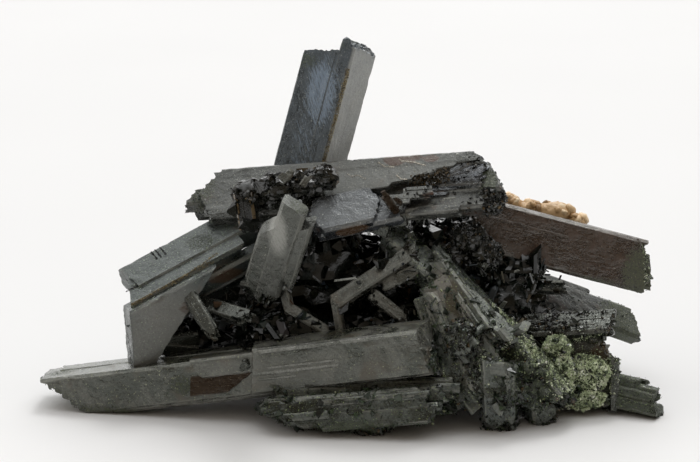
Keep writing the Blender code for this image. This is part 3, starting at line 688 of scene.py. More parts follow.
def crystal_surface(heap, crystal, seed, rough, groove, chips, extra, splinters, blunt=(), **more):
    """Adds a whole crystal: its laths, extra thin ones on its faces, and splinters at its broken ends.

    Each blunt is (lath's number, z from the tip, slope along x, slope along y), one more break across it."""
    rng = random.Random(seed * 7 + 1)
    matrix, length = frame_of(crystal)
    laths = laths_of(crystal, length)
    for number, z, a, b in blunt:
        laths[number] = laths[number]._replace(tip_cuts=(*laths[number].tip_cuts, (length + z, a, b)))
    named = 1 + len(crystal.laths)
    for i, lath in enumerate(laths):
        share = rough if i < named else rough * 0.7
        slim = 0.5 if max(lath.width, lath.thick) < 2.0 else 1.0
        lath_surface(heap, lath, matrix, seed * 13 + i, share, groove * slim, chips * slim, **more)
    for _ in range(extra):
        thin_rib(heap, crystal, matrix, length, rng)
    count = int(splinters * (crystal.width + crystal.thick) * 2.2)
    for end in (0, 1):
        for _ in range(count):
            splinter(heap, crystal, matrix, length, rng, end)


def thin_rib(heap, crystal, matrix, length, rng):
    """A long thin lath that stands barely proud of one of the faces."""
    side = rng.choice((1, -1))
    width = rng.uniform(0.10, 0.45)
    thick = rng.uniform(0.3, 0.6)
    reach = rng.uniform(0.12, 0.75) * length
    start = rng.uniform(0.0, length - reach)
    slope = rng.uniform(-1.4, 1.4)
    proud = rng.uniform(0.01, 0.06)
    cut = CHAMFER * min(crystal.width, crystal.thick)
    if rng.random() < 0.62:
        x = (crystal.width / 2 - cut - width / 2) * rng.uniform(-1, 1)
        y = side * (crystal.thick / 2 + proud - thick / 2)
        lath = Lath(x, y, width, thick, ((start, -slope, 0.2),), ((start + reach, slope, 0.2),))
    else:
        y = (crystal.thick / 2 - cut - width / 2) * rng.uniform(-1, 1)
        x = side * (crystal.width / 2 + proud - thick / 2)
        lath = Lath(x, y, thick, width, ((start, 0.2, -slope),), ((start + reach, 0.2, slope),))
    bases = lath.base_cuts + tuple((z + 0.3, a, b) for z, a, b in crystal.base_cuts)
    tips = lath.tip_cuts + tuple((length + z - 0.3, a, b) for z, a, b in crystal.tip_cuts)
    plain_lath(heap, lath._replace(base_cuts=bases, tip_cuts=tips), matrix, rng)


def splinter(heap, crystal, matrix, length, rng, end):
    """A thin lath in a crystal's broken end, that stops a little before or after its neighbours."""
    width, thick = rng.uniform(0.25, 1.3), rng.uniform(0.2, 0.8)
    x = (crystal.width / 2 - width / 2) * rng.uniform(-1, 1)
    y = (crystal.thick / 2 - thick / 2) * rng.uniform(-1, 1)
    reach = rng.uniform(1.5, 5.0)
    over = rng.gauss(-0.15, 0.3)
    slope, tilt = rng.uniform(-0.9, 0.9), rng.uniform(-0.9, 0.9)
    if end:
        cuts = [length + z + a * x + b * y for z, a, b in crystal.tip_cuts]
        top = min(cuts) + min(over, 0.35)
        low, high = (top - reach, 0, 0), (top - slope * x - tilt * y, slope, tilt)
    else:
        cuts = [z + a * x + b * y for z, a, b in crystal.base_cuts]
        bottom = max(cuts) - min(over, 0.35)
        low, high = (bottom - slope * x - tilt * y, slope, tilt), (bottom + reach, 0, 0)
    plain_lath(heap, Lath(x, y, width, thick, (low,), (high,)), matrix, rng)


def plain_lath(heap, lath, matrix, rng):
    """A lath with eight flat sides and slanted ends."""
    ring = np.array(section_of(lath))
    x, y = ring[:, 0], ring[:, 1]
    low = np.max([z + a * x + b * y for z, a, b in lath.base_cuts], axis=0)
    high = np.min([z + a * x + b * y for z, a, b in lath.tip_cuts], axis=0)
    if (high - low).min() < 0.15:
        return
    verts = np.concatenate([np.column_stack([ring, low]), np.column_stack([ring, high])])
    n = len(ring)
    i = np.arange(n)
    j = np.roll(i, -1)
    faces = [np.stack([i, j, j + n, i + n], -1), i[::-1][None], (i + n)[None]]
    heap.add(placed(verts, matrix), faces, verts + rng.uniform(0, 300), rng.random() * 0.6)


def many_blades(heap, base, axis, face, width, thick, length, rng):
    """Adds many small blades at once, each with eight sides and a roof-like tip."""
    n = len(base)
    axis = axis / np.linalg.norm(axis, axis=1, keepdims=True)
    out = face - axis * np.sum(face * axis, axis=1, keepdims=True)
    out = out / np.linalg.norm(out, axis=1, keepdims=True)
    across = np.cross(out, axis)
    cut = 0.22 * np.minimum(width, thick)
    a, b = width / 2, thick / 2
    corners = ((a, b - cut), (a - cut, b), (cut - a, b), (-a, b - cut),
               (-a, cut - b), (cut - a, -b), (a - cut, -b), (a, cut - b))
    ring = np.stack([np.stack(corner, -1) for corner in corners], 1)
    slopes = rng.uniform(-1.2, 1.2, (n, 2, 2))
    drops = [np.sum(ring * slopes[:, i][:, None], -1) for i in (0, 1)]
    high = length[:, None] + np.minimum(*drops)
    low = np.zeros_like(high)
    ridge = np.stack([np.zeros(n), np.zeros(n), length], -1)[:, None]
    rims = [np.concatenate([ring, level[..., None]], -1) for level in (low, high)]
    local = np.concatenate([*rims, ridge], 1)
    world = base[:, None] + local[..., :1] * across[:, None] + local[..., 1:2] * out[:, None]
    world = world + local[..., 2:] * axis[:, None]
    points = local.shape[1]
    round_it = len(corners)
    i = np.arange(round_it)
    j = np.roll(i, -1)
    start = (np.arange(n) * points)[:, None, None]
    sides = (np.stack([i, j, j + round_it, i + round_it], -1)[None] + start).reshape(-1, 4)
    top = np.full(round_it, points - 1)
    roof = (np.stack([i + round_it, j + round_it, top], -1)[None] + start).reshape(-1, 3)
    bottom = (i[::-1][None, None] + start).reshape(-1, round_it)
    own = local + rng.uniform(0, 300, (n, 1, 1))
    tone = np.repeat(rng.random(n), points)
    heap.add(world.reshape(-1, 3), [sides, roof, bottom], own.reshape(-1, 3), tone)


# ---------------------------------------------------------------- grains


def grain_shapes(count, corners, seed):
    """Some small hulls with flat facets, to be turned and scaled into many grains."""
    rng = random.Random(seed)
    shapes = []
    for _ in range(count):
        bm = bmesh.new()
        for _ in range(corners):
            bm.verts.new(random_vector(rng).normalized() * rng.uniform(0.85, 1.1))
        hull = bmesh.ops.convex_hull(bm, input=bm.verts)
        inside = [v for v in hull["geom_interior"] if isinstance(v, bmesh.types.BMVert)]
        bmesh.ops.delete(bm, geom=inside, context="VERTS")
        bmesh.ops.recalc_face_normals(bm, faces=bm.faces)
        bm.verts.index_update()
        verts = np.array([v.co[:] for v in bm.verts])
        faces = np.array([[v.index for v in f.verts] for f in bm.faces])
        shapes.append((verts, faces))
        bm.free()
    return shapes


def random_turns(n, rng):
    """Rotation matrices spread over all directions."""
    q = rng.normal(size=(n, 4))
    q /= np.linalg.norm(q, axis=1, keepdims=True)
    w, x, y, z = q.T
    return np.stack([
        1 - 2 * (y * y + z * z), 2 * (x * y - z * w), 2 * (x * z + y * w),
        2 * (x * y + z * w), 1 - 2 * (x * x + z * z), 2 * (y * z - x * w),
        2 * (x * z - y * w), 2 * (y * z + x * w), 1 - 2 * (x * x + y * y)], -1).reshape(n, 3, 3)


def mixed_sizes(count, least, most, rng, power=2):
    """Sizes between two limits, with few large ones."""
    return rng.random(count) ** power * (most - least) + least


def grains(heap, spots, sizes, shapes, rng, tones):
    """Adds a grain at each spot, of a random tone where tones is None."""
    turns = random_turns(len(spots), rng)
    squash = rng.uniform(0.55, 1.15, (len(spots), 3))
    kinds = rng.integers(0, len(shapes), len(spots))
    tones = rng.random(len(spots)) if tones is None else tones
    for kind, (verts, faces) in enumerate(shapes):
        mine = np.flatnonzero(kinds == kind)
        if not len(mine):
            continue
        local = verts[None] * squash[mine][:, None] * sizes[mine][:, None, None]
        world = np.einsum("nij,nvj->nvi", turns[mine], local) + spots[mine][:, None]
        index = faces[None] + (np.arange(len(mine)) * len(verts))[:, None, None]
        own = (local + rng.uniform(0, 300, (len(mine), 1, 1))).reshape(-1, 3)
        heap.add(world.reshape(-1, 3), [index.reshape(-1, 3)], own, np.repeat(tones[mine], len(verts)))


def surface_of(node):
    """A node's triangles in the layout, with their areas and outward directions."""
    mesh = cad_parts[node].data
    mesh.calc_loop_triangles()
    points = np.array([v.co[:] for v in mesh.vertices]) / MM + (*BOX_CENTRE, 0.0)
    corners = points[np.array([t.vertices[:] for t in mesh.loop_triangles])]
    cross = np.cross(corners[:, 1] - corners[:, 0], corners[:, 2] - corners[:, 0])
    area = np.linalg.norm(cross, axis=1)
    keep = area > 1e-6
    return corners[keep], area[keep] / 2, cross[keep] / area[keep][:, None]


def spots_on(node, count, rng, weigh=None):
    """Places spread evenly over a node's surface, and the way that it faces there."""
    corners, area, out = surface_of(node)
    weight = area if weigh is None else area * weigh(corners.mean(1), out)
    pick = rng.choice(len(area), count, p=weight / weight.sum())
    u, v = rng.random(count), rng.random(count)
    u, v = np.where(u + v > 1, 1 - u, u), np.where(u + v > 1, 1 - v, v)
    origin, first, second = corners[pick].transpose(1, 0, 2)
    spots = origin + u[:, None] * (first - origin) + v[:, None] * (second - origin)
    return spots, out[pick]


LUMP_SIDES = 38


def lump_surface(heap, lump, seed, bumps=0.12, tone=0.5):
    """Adds a lump as a rough body under its grains."""
    turn = np.linspace(0, 2 * math.pi, LUMP_SIDES, endpoint=False)
    rise = np.linspace(-math.pi / 2, math.pi / 2, LUMP_SIDES // 2 + 1)[1:-1]
    level = np.cos(rise)[:, None]
    height = np.broadcast_to(np.sin(rise)[:, None], (len(rise), LUMP_SIDES))
    way = np.stack([level * np.cos(turn), level * np.sin(turn), height], -1)
    poles = np.array([[0, 0, -1.0], [0, 0, 1.0]])
    ways = np.concatenate([way.reshape(-1, 3), poles])
    radii = np.array(lump.radii)
    coarse = cell_noise(ways * radii / 1.1 + 50, seed)
    small = cell_noise(ways * radii / 0.5 + 50, seed + 1)
    size = 0.93 - bumps * coarse - 0.5 * bumps * small
    verts = np.array(lump.centre) + ways * radii * size[:, None]
    rows = len(rise)
    grid = np.arange(rows * LUMP_SIDES).reshape(rows, LUMP_SIDES)
    after = np.roll(grid, -1, axis=1)
    quads = np.stack([grid[:-1], after[:-1], after[1:], grid[1:]], -1).reshape(-1, 4)
    south = np.stack([after[0], grid[0], np.full(LUMP_SIDES, rows * LUMP_SIDES)], -1)
    north = np.stack([grid[-1], after[-1], np.full(LUMP_SIDES, rows * LUMP_SIDES + 1)], -1)
    heap.add(verts, [quads, south, north], ways * radii + seed, tone)


# ---------------------------------------------------------------- materials


class Shader:
    """A material's nodes, built from the shader backwards."""

    def __init__(self, name):
        self.material = bpy.data.materials.new(name)
        self.material.use_nodes = True
        self.tree = self.material.node_tree
        self.surface = self.tree.nodes["Principled BSDF"]

    def node(self, kind, settings=(), **inputs):
        made = self.tree.nodes.new(kind)
        for key, value in dict(settings).items():
            setattr(made, key, value)
        for key, value in inputs.items():
            self.put(made.inputs[int(key[1:]) if key[1:].isdigit() else key.replace("_", " ")], value)
        return made

    def put(self, socket, value):
        if isinstance(value, bpy.types.NodeSocket):
            self.tree.links.new(value, socket)
        else:
            socket.default_value = value

    def attribute(self, name):
        found = self.node("ShaderNodeAttribute", {"attribute_name": name})
        return found.outputs["Vector"] if name == "own" else found.outputs["Fac"]

    def stretched(self, vector, scale, turn=(0.0, 0.0, 0.0)):
        mapping = self.node("ShaderNodeMapping", {"vector_type": "TEXTURE"}, i0=vector, Rotation=turn)
        turned = mapping.outputs["Vector"]
        made = self.node("ShaderNodeVectorMath", {"operation": "MULTIPLY"}, i0=turned, i1=scale)
        return made.outputs["Vector"]

    def noise(self, vector, scale=1.0, detail=2.0, roughness=0.5, distortion=0.0):
        made = self.node("ShaderNodeTexNoise", Vector=vector, Scale=scale, Detail=detail, Roughness=roughness,
                         Distortion=distortion)
        return made.outputs["Fac"]

    def math(self, operation, a, b=0.0, c=0.0):
        made = self.node("ShaderNodeMath", {"operation": operation}, i0=a, i1=b, i2=c)
        return made.outputs[0]

    def plus(self, a, b):
        return self.math("ADD", a, b)

    def times(self, a, b):
        return self.math("MULTIPLY", a, b)

    def spread(self, value, low, high, to_low=0.0, to_high=1.0):
        made = self.node("ShaderNodeMapRange", i0=value, i1=low, i2=high, i3=to_low, i4=to_high)
        return made.outputs[0]

    def ramp(self, value, *stops):
        made = self.node("ShaderNodeValToRGB", i0=value)
        bands = made.color_ramp.elements
        while len(bands) < len(stops):
            bands.new(0.5)
        for band, (place, colour) in zip(bands, stops):
            band.position = place
            band.color = (*colour, 1.0)
        return made.outputs["Color"]

    def mix(self, share, a, b):
        made = self.node("ShaderNodeMix", {"data_type": "RGBA"})
        self.put(made.inputs[0], share)
        self.put(made.inputs[6], a if isinstance(a, bpy.types.NodeSocket) else (*a, 1.0))
        self.put(made.inputs[7], b if isinstance(b, bpy.types.NodeSocket) else (*b, 1.0))
        return made.outputs[2]

    def upward(self):
        """1 on faces that look up, 0 on those that look down or sideways."""
        normal = self.node("ShaderNodeNewGeometry").outputs["Normal"]
        return self.spread(self.node("ShaderNodeSeparateXYZ", i0=normal).outputs["Z"], 0.0, 0.8)

    def bump(self, height, distance, strength=1.0, under=None):
        made = self.node("ShaderNodeBump", Height=height, Distance=distance * MM, Strength=strength)
        if under is not None:
            self.put(made.inputs["Normal"], under)
        return made.outputs["Normal"]

    def finish(self, colour, roughness, normal, ior, tint=(1.0, 1.0, 1.0, 1.0)):
        for name, value in (("Base Color", colour), ("Roughness", roughness), ("Normal", normal)):
            self.put(self.surface.inputs[name], value)
        self.surface.inputs["IOR"].default_value = ior
        self.surface.inputs["Specular Tint"].default_value = tint
        return self.material


DULL_AND_LIT = (0.158, 0.164, 0.156)  # where a face is worn dull, and where one is painted paler as painted light
HAZE = (0.070, 0.071, 0.066)  # where it is a little dull, in broad patches
WORN_AND_LIT = (0.22, 0.22, 0.20)  # along its edges and bevels: partly wear, partly a painted highlight
MOSS = ((0.012, 0.018, 0.008), (0.055, 0.070, 0.022))  # the darkest and the palest green dirt
SATIN = (0.95, 1.0, 0.90, 1.0)  # the tint of its gloss


def crystal_material(name, dark, middle, stain, film, dust, dusty, gloss=0.14, dull=0.34, stained=0.62,
                     ior=1.80, dirt=MOSS, dull_and_lit_colour=DULL_AND_LIT, haze=HAZE, hazy=0.6, tint=SATIN, worn_and_lit=0.55):
    """Satin crystal faces, faintly streaked along each lath, with patches that are stained, green or dusty,
    patches of film that are partly painted sheen, and dull patches that are partly faces painted paler as
    painted light. The tone of each vertex says how near an edge it is, where the crystal is painted paler:
    partly wear, partly a painted highlight."""
    s = Shader(name)
    own = s.attribute("own")
    cloud = s.noise(own, 0.30, 5.0, 0.62, 0.4)
    streak = s.noise(s.stretched(own, (2.4, 2.4, 0.22)), 1.0, 4.0, 0.6, 0.3)
    hair = s.noise(s.stretched(own, (9.0, 9.0, 0.3)), 1.0, 3.0, 0.6)
    grit = s.noise(own, 4.5, 4.0, 0.7)
    speck = s.noise(own, 4.6, 2.0, 0.55)
    scratch = s.noise(s.stretched(own, (7.0, 3.0, 0.9), (0.0, 0.7, 0.0)), 1.0, 3.0, 0.6, 0.3)
    mottle = s.plus(s.times(grit, 0.55), s.times(cloud, 0.45))
    body = s.ramp(mottle, (0.42, dark), (0.60, middle))

    broad = s.spread(s.noise(own, 0.16, 5.0, 0.68, 1.0), 0.43, 0.57, 0.0, hazy)
    body = s.mix(s.times(broad, s.spread(grit, 0.38, 0.56, 0.3, 1.0)), body, haze)
    ragged = s.spread(cloud, 0.3, 0.7, -0.35, 0.35)
    stains = s.plus(s.spread(cloud, stained, stained + 0.12, 0.0, 0.6),
                    s.spread(s.plus(s.attribute("stain"), ragged), 0.45, 0.7))
    body = s.mix(s.math("MINIMUM", stains, 0.9), body, stain)
    # Edges and bevels painted paler: partly wear, partly a painted highlight.
    edges = s.times(s.spread(s.attribute("tone"), 0.4, 1.0, 0.0, worn_and_lit), s.spread(streak, 0.42, 0.58))
    body = s.mix(edges, body, WORN_AND_LIT)
    unstained = s.spread(stains, 0.2, 0.9, 1.0, 0.1)
    # Dull patches painted paler: partly dull wear, partly painted light on the faces that look towards the
    # brightest light.
    matt = s.times(s.times(s.attribute("matt"), unstained), s.spread(mottle, 0.35, 0.60, 0.55, 1.0))
    body = s.mix(matt, body, dull_and_lit_colour)
    green = s.spread(s.plus(s.attribute("green"), s.spread(grit, 0.3, 0.7, -0.45, 0.45)), 0.40, 0.70)
    body = s.mix(s.times(green, 0.9), body, s.ramp(grit, (0.40, dirt[0]), (0.60, dirt[1])))
    # A film of fine scratches painted paler: partly a real film, partly painted sheen and highlight where the
    # film marks lie.
    film_and_sheen_share = s.spread(s.plus(s.attribute("film"), s.spread(scratch, 0.35, 0.65, -0.6, 0.35)), 0.2, 0.9)
    body = s.mix(s.times(film_and_sheen_share, 0.6), body, film)
    dusted = s.spread(s.plus(speck, s.times(s.upward(), 0.04)), 0.66, 0.71, 0.0, dusty)
    body = s.mix(dusted, body, dust)

    wear = s.plus(s.times(cloud, 0.65), s.times(streak, 0.35))
    rough = s.plus(s.spread(wear, 0.38, 0.62, gloss, dull), s.times(broad, 0.12))
    covered = s.math("MAXIMUM", dusted, s.math("MAXIMUM", green, s.math("MAXIMUM", film_and_sheen_share, matt)))
    rough = s.plus(rough, s.times(covered, 0.25))

    low = s.bump(cloud, 0.5, 0.6)
    uneven = s.bump(s.noise(own, 1.1, 4.0, 0.6, 0.8), 0.10, 0.6, low)
    lined = s.bump(streak, 0.03, 0.45, uneven)
    pits = s.spread(s.noise(own, 2.6, 3.0, 0.7), 0.24, 0.36)
    rugged = s.plus(s.times(hair, 0.7), s.times(grit, s.spread(green, 0.0, 1.0, 1.0, 5.0)))
    return s.finish(body, rough, s.bump(s.plus(rugged, pits), 0.026, 0.9, lined), ior, tint)


def jumble_material(name):
    """Small blades, each a little different: most black and glossy, a few brown, green, blue or dull, and the
    palest few painted glints.
    """
    s = Shader(name)
    own, tone = s.attribute("own"), s.attribute("tone")
    streak = s.noise(s.stretched(own, (4.0, 4.0, 0.4)), 1.0, 3.0, 0.6)
    patch = s.noise(own, 0.6, 3.0, 0.6)
    shade = s.ramp(tone, (0.0, (0.001, 0.002, 0.001)), (0.60, (0.004, 0.006, 0.004)),
                   (0.76, (0.012, 0.009, 0.004)), (0.86, (0.006, 0.016, 0.008)),
                   (0.93, (0.012, 0.018, 0.028)), (0.97, (0.070, 0.036, 0.012)), (1.0, (0.16, 0.15, 0.11)))
    shade = s.mix(s.spread(patch, 0.62, 0.78, 0.0, 0.35), shade, (0.035, 0.026, 0.012))
    rough = s.plus(s.ramp(tone, (0.0, (0.07,) * 3), (0.6, (0.14,) * 3), (1.0, (0.36,) * 3)),
                   s.spread(streak, 0.35, 0.65, -0.03, 0.10))
    return s.finish(shade, rough, s.bump(streak, 0.03, 0.5, s.bump(patch, 0.2, 0.5)), 1.55)


def grain_material(name, stops, roughness, ior, speckle=(0.5, 0.5, 0.4), speckled=0.15):
    """Fine grains whose colour differs from grain to grain."""
    s = Shader(name)
    own, tone = s.attribute("own"), s.attribute("tone")
    cloud = s.noise(own, 1.4, 4.0, 0.6)
    fine = s.noise(own, 6.0, 3.0, 0.6)
    shade = s.ramp(s.plus(tone, s.spread(cloud, 0.3, 0.7, -0.1, 0.1)), *stops)
    shade = s.mix(s.spread(fine, 0.62, 0.72, 0.0, speckled), shade, speckle)
    rough = s.spread(cloud, 0.35, 0.65, roughness - 0.10, roughness + 0.12)
    return s.finish(shade, rough, s.bump(fine, 0.05, 0.5), ior)


aegirine = crystal_material(
    "aegirine_striated", dark=(0.003, 0.004, 0.004), middle=(0.030, 0.031, 0.028),
    stain=(0.085, 0.034, 0.020), film=(0.10, 0.105, 0.09), dust=(0.42, 0.43, 0.34), dusty=0.6, stained=0.58,
    haze=(0.100, 0.101, 0.096), tint=(0.97, 1.0, 0.95, 1.0))
aegirine_slab = crystal_material(
    "aegirine_slab", dark=(0.002, 0.004, 0.004), middle=(0.022, 0.028, 0.026), stain=(0.062, 0.034, 0.018),
    film=(0.10, 0.115, 0.10), dust=(0.36, 0.44, 0.30), dusty=0.75, stained=0.60,
    haze=(0.062, 0.074, 0.070), hazy=0.7,
    dull_and_lit_colour=(0.20, 0.192, 0.176), tint=(0.93, 1.0, 0.965, 1.0))
# Its film colour paints a bluish sheen, and its pale dull colour paints its right face paler, partly as
# painted light.
aegirine_upright = crystal_material(
    "aegirine_upright", dark=(0.004, 0.007, 0.011), middle=(0.018, 0.025, 0.033), stain=(0.030, 0.026, 0.015),
    film=(0.27, 0.35, 0.46), dust=(0.45, 0.47, 0.44), dusty=0.5, stained=0.72, dull_and_lit_colour=(0.38, 0.38, 0.36),
    haze=(0.045, 0.056, 0.070), tint=(0.86, 0.96, 1.0, 1.0))
aegirine_brown = crystal_material(
    "aegirine_brown", dark=(0.012, 0.006, 0.003), middle=(0.046, 0.022, 0.012), stain=(0.048, 0.020, 0.009),
    film=(0.13, 0.11, 0.08), dust=(0.36, 0.30, 0.20), dusty=0.5, gloss=0.12, dull=0.30, stained=0.55,
    haze=(0.060, 0.036, 0.022), hazy=0.5, tint=(1.0, 0.97, 0.92, 1.0))
aegirine_green = crystal_material(
    "aegirine_green", dark=(0.003, 0.004, 0.003), middle=(0.026, 0.028, 0.022), stain=(0.058, 0.034, 0.018),
    film=(0.12, 0.13, 0.10), dust=(0.42, 0.44, 0.28), dusty=0.65, stained=0.56,
    haze=(0.150, 0.148, 0.135), hazy=0.8, dull_and_lit_colour=(0.165, 0.158, 0.148))
aegirine_rotten = crystal_material(
    "aegirine_rotten", dark=(0.002, 0.003, 0.002), middle=(0.028, 0.034, 0.022), stain=(0.050, 0.034, 0.014),
    film=(0.17, 0.20, 0.21), dust=(0.34, 0.42, 0.20), dusty=0.8, gloss=0.10, dull=0.36, stained=0.6, ior=1.75,
    dirt=((0.004, 0.008, 0.003), (0.060, 0.080, 0.032)), haze=(0.110, 0.124, 0.118), hazy=0.9, worn_and_lit=0.7,
    dull_and_lit_colour=(0.27, 0.25, 0.225))
aegirine_hexagon = crystal_material(
    "aegirine_hexagon", dark=(0.005, 0.006, 0.008), middle=(0.026, 0.029, 0.033), stain=(0.085, 0.050, 0.028),
    film=(0.20, 0.22, 0.26), dust=(0.55, 0.56, 0.52), dusty=0.7, stained=0.74, haze=(0.060, 0.066, 0.074),
    tint=(0.93, 0.98, 1.0, 1.0))
# Its pale film colour and its paler edges paint glints on the glossy steps.
glossy_steps = crystal_material(
    "aegirine_glossy_steps", dark=(0.002, 0.003, 0.004), middle=(0.008, 0.011, 0.013),
    stain=(0.05, 0.028, 0.012), film=(0.42, 0.46, 0.52), dust=(0.50, 0.54, 0.58), dusty=0.6,
    gloss=0.05, dull=0.14, hazy=0.1, ior=2.2, worn_and_lit=0.8, tint=(0.93, 0.97, 1.0, 1.0))
aegirine_inner = crystal_material(
    "aegirine_inner", dark=(0.002, 0.003, 0.002), middle=(0.014, 0.015, 0.012), stain=(0.050, 0.028, 0.012),
    film=(0.10, 0.12, 0.14), dust=(0.34, 0.35, 0.28), dusty=0.5, gloss=0.08, dull=0.24,
    hazy=0.35, ior=1.75, worn_and_lit=0.35)
# A paler material for some of the core's blades and for the flat chips.
aegirine_pale = crystal_material(
    "aegirine_pale", dark=(0.006, 0.006, 0.004), middle=(0.060, 0.056, 0.046), stain=(0.085, 0.050, 0.026),
    film=(0.2, 0.2, 0.2), dust=(0.40, 0.40, 0.34), dusty=0.5, stained=0.56,
    haze=(0.150, 0.146, 0.132), hazy=0.9)
# Its film and dull colours paint the highlight down the near blade's left edge.
aegirine_near = crystal_material(
    "aegirine_near", dark=(0.004, 0.005, 0.004), middle=(0.034, 0.034, 0.030), stain=(0.050, 0.034, 0.020),
    film=(0.33, 0.33, 0.31), dust=(0.36, 0.37, 0.30), dusty=0.4,
    dull_and_lit_colour=(0.26, 0.26, 0.245), haze=(0.10, 0.10, 0.096))
aegirine_facet = crystal_material(
    "aegirine_facet", dark=(0.008, 0.004, 0.002), middle=(0.022, 0.011, 0.004), stain=(0.034, 0.017, 0.007),
    film=(0.1, 0.08, 0.05), dust=(0.30, 0.26, 0.18), dusty=0.3,
    haze=(0.030, 0.017, 0.008), hazy=0.5, tint=(1.0, 0.86, 0.72, 1.0), ior=1.5)
# Pale ridges and chips: their colour is a painted highlight and painted glints.
ridge_highlight = crystal_material(
    "aegirine_painted_highlight", dark=(0.05, 0.052, 0.044), middle=(0.13, 0.13, 0.12), stain=(0.10, 0.07, 0.04),
    film=(0.2, 0.2, 0.2), dust=(0.6, 0.6, 0.55), dusty=0.5, haze=(0.26, 0.26, 0.245), hazy=0.8)
vein_grains = grain_material("pale_veins", ((0.0, (0.46, 0.42, 0.34)), (1.0, (0.92, 0.90, 0.82))), 0.5, 1.5)
jumble_look = jumble_material("aegirine_small_blades")
black_grains = grain_material(
    "aegirine_grains",
    ((0.0, (0.003, 0.004, 0.003)), (0.55, (0.008, 0.009, 0.006)), (0.78, (0.020, 0.018, 0.009)),
     (0.92, (0.060, 0.040, 0.018)), (1.0, (0.14, 0.10, 0.05))),
    0.17, 1.62, speckled=0.05)
green_grains = grain_material(
    "green_crust_grains",
    ((0.0, (0.020, 0.030, 0.014)), (0.16, (0.10, 0.135, 0.065)), (0.34, (0.33, 0.40, 0.22)),
     (0.58, (0.58, 0.66, 0.42)), (0.80, (0.82, 0.86, 0.66)), (1.0, (0.97, 0.97, 0.93))),
    0.38, 1.6, speckle=(0.85, 0.88, 0.75), speckled=0.4)
dark_green_grains = grain_material(
    "dark_green_grains",
    ((0.0, (0.003, 0.005, 0.003)), (0.38, (0.012, 0.022, 0.010)), (0.60, (0.034, 0.056, 0.020)),
     (0.76, (0.060, 0.076, 0.080)), (0.88, (0.19, 0.23, 0.09)), (1.0, (0.46, 0.50, 0.30))),
    0.30, 1.6, speckled=0.2)
tan_grains = grain_material(
    "feldspar_grains_tan",
    ((0.0, (0.26, 0.15, 0.06)), (0.35, (0.50, 0.31, 0.14)), (0.7, (0.72, 0.50, 0.27)),
     (1.0, (0.86, 0.68, 0.44))),
    0.42, 1.53, speckle=(0.20, 0.11, 0.04), speckled=0.35)
dirt_grains = grain_material(
    "seam_dirt",
    ((0.0, (0.03, 0.022, 0.009)), (0.4, (0.12, 0.085, 0.03)), (0.75, (0.28, 0.21, 0.08)),
     (1.0, (0.55, 0.50, 0.34))),
    0.5, 1.55)


# ---------------------------------------------------------------- the pieces

SHAPES = grain_shapes(24, 6, 5)  # sharp grains
BLOCKS = grain_shapes(20, 7, 6)  # blunter ones
ROUND = grain_shapes(10, 60, 9)

# The marks on each crystal: channel, centre, radii and strength, and for some the way that the face looks.
# The first film mark paints the sheen on the left face; the last mark paints the right face duller and paler,
# partly as painted light.
UPRIGHT_MARKS = (
    ("film", (-4.0, 14.5, 39.0), (3.2, 3.6, 6.0), 1.0), ("film", (-6.4, 14.0, 31.0), (2.6, 3.0, 8.0), 0.35),
    ("green", (-1.2, 17.0, 45.4), (5.0, 5.0, 1.6), 0.5), ("green", (-6.4, 17.0, 42.8), (3.0, 5.0, 1.6), 0.6),
    ("matt", (-1.0, 14.0, 33.0), (12.0, 12.0, 24.0), 1.0, (0.76, -0.63, -0.13)),
)
# The last mark paints the broad face duller and paler, partly as painted light.
UPPER_MARKS = (
    ("stain", (5.9, 8.8, 31.0), (2.2, 1.8, 1.1), 1.0), ("stain", (8.2, 8.5, 31.3), (1.6, 1.6, 1.0), 0.9),
    ("green", (17.6, 5.0, 29.4), (2.4, 3.0, 1.8), 0.9), ("green", (-19.6, 12.0, 25.6), (3.0, 4.0, 4.4), 0.55),
    ("stain", (12.4, 2.6, 27.6), (4.6, 2.4, 1.5), 0.85), ("stain", (10.6, 7.9, 31.5), (1.8, 1.4, 0.9), 0.9),
    ("matt", (2.0, 6.0, 29.6), (16.0, 8.0, 4.0), 0.6, (0.1, -0.62, 0.78)),
)
# The last mark paints the face that hangs down over the front blade duller and paler, partly as painted
# light.
SLAB_MARKS = (
    ("stain", (-19.6, 0.6, 13.6), (3.6, 3.0, 1.6), 0.9), ("stain", (-16.0, 3.6, 16.6), (4.6, 3.0, 1.5), 0.7),
    ("green", (-27.6, 3.6, 14.8), (2.4, 3.0, 2.0), 0.6), ("green", (-19.6, 6.4, 20.4), (3.4, 2.6, 1.6), 0.45),
    ("matt", (-24.4, -0.6, 10.0), (8.0, 6.0, 9.0), 0.75, (0.3, -0.95, 0.08)),
)
# The film mark paints a highlight near the top; the dull mark paints the front face duller and paler, partly
# as painted light.
FRONT_MARKS = (
    ("green", (-37.4, 0.6, 2.0), (4.4, 4.0, 3.0), 0.95), ("green", (-30.0, -1.2, 0.6), (9.0, 4.0, 1.3), 0.85),
    ("stain", (-3.0, -7.6, 5.6), (7.0, 3.0, 2.4), 0.45), ("green", (12.0, -9.0, 5.0), (4.0, 4.0, 4.4), 0.7),
    ("film", (-8.0, -7.6, 8.4), (9.0, 3.0, 1.6), 0.25), ("matt", (-6.0, -6.0, 7.4), (16.0, 5.0, 3.4), 0.45),
    ("green", (-21.4, -4.6, 4.6), (2.6, 3.0, 1.8), 0.55),
)
# The film and dull marks paint the highlight down the left edge.
NEAR_MARKS = (
    ("film", (-8.9, -7.4, 26.4), (1.5, 4.0, 4.6), 0.9), ("matt", (-9.0, -7.2, 26.2), (1.5, 4.0, 4.6), 1.0),
    ("green", (-6.0, -8.4, 29.6), (3.0, 4.0, 1.6), 0.5),
)
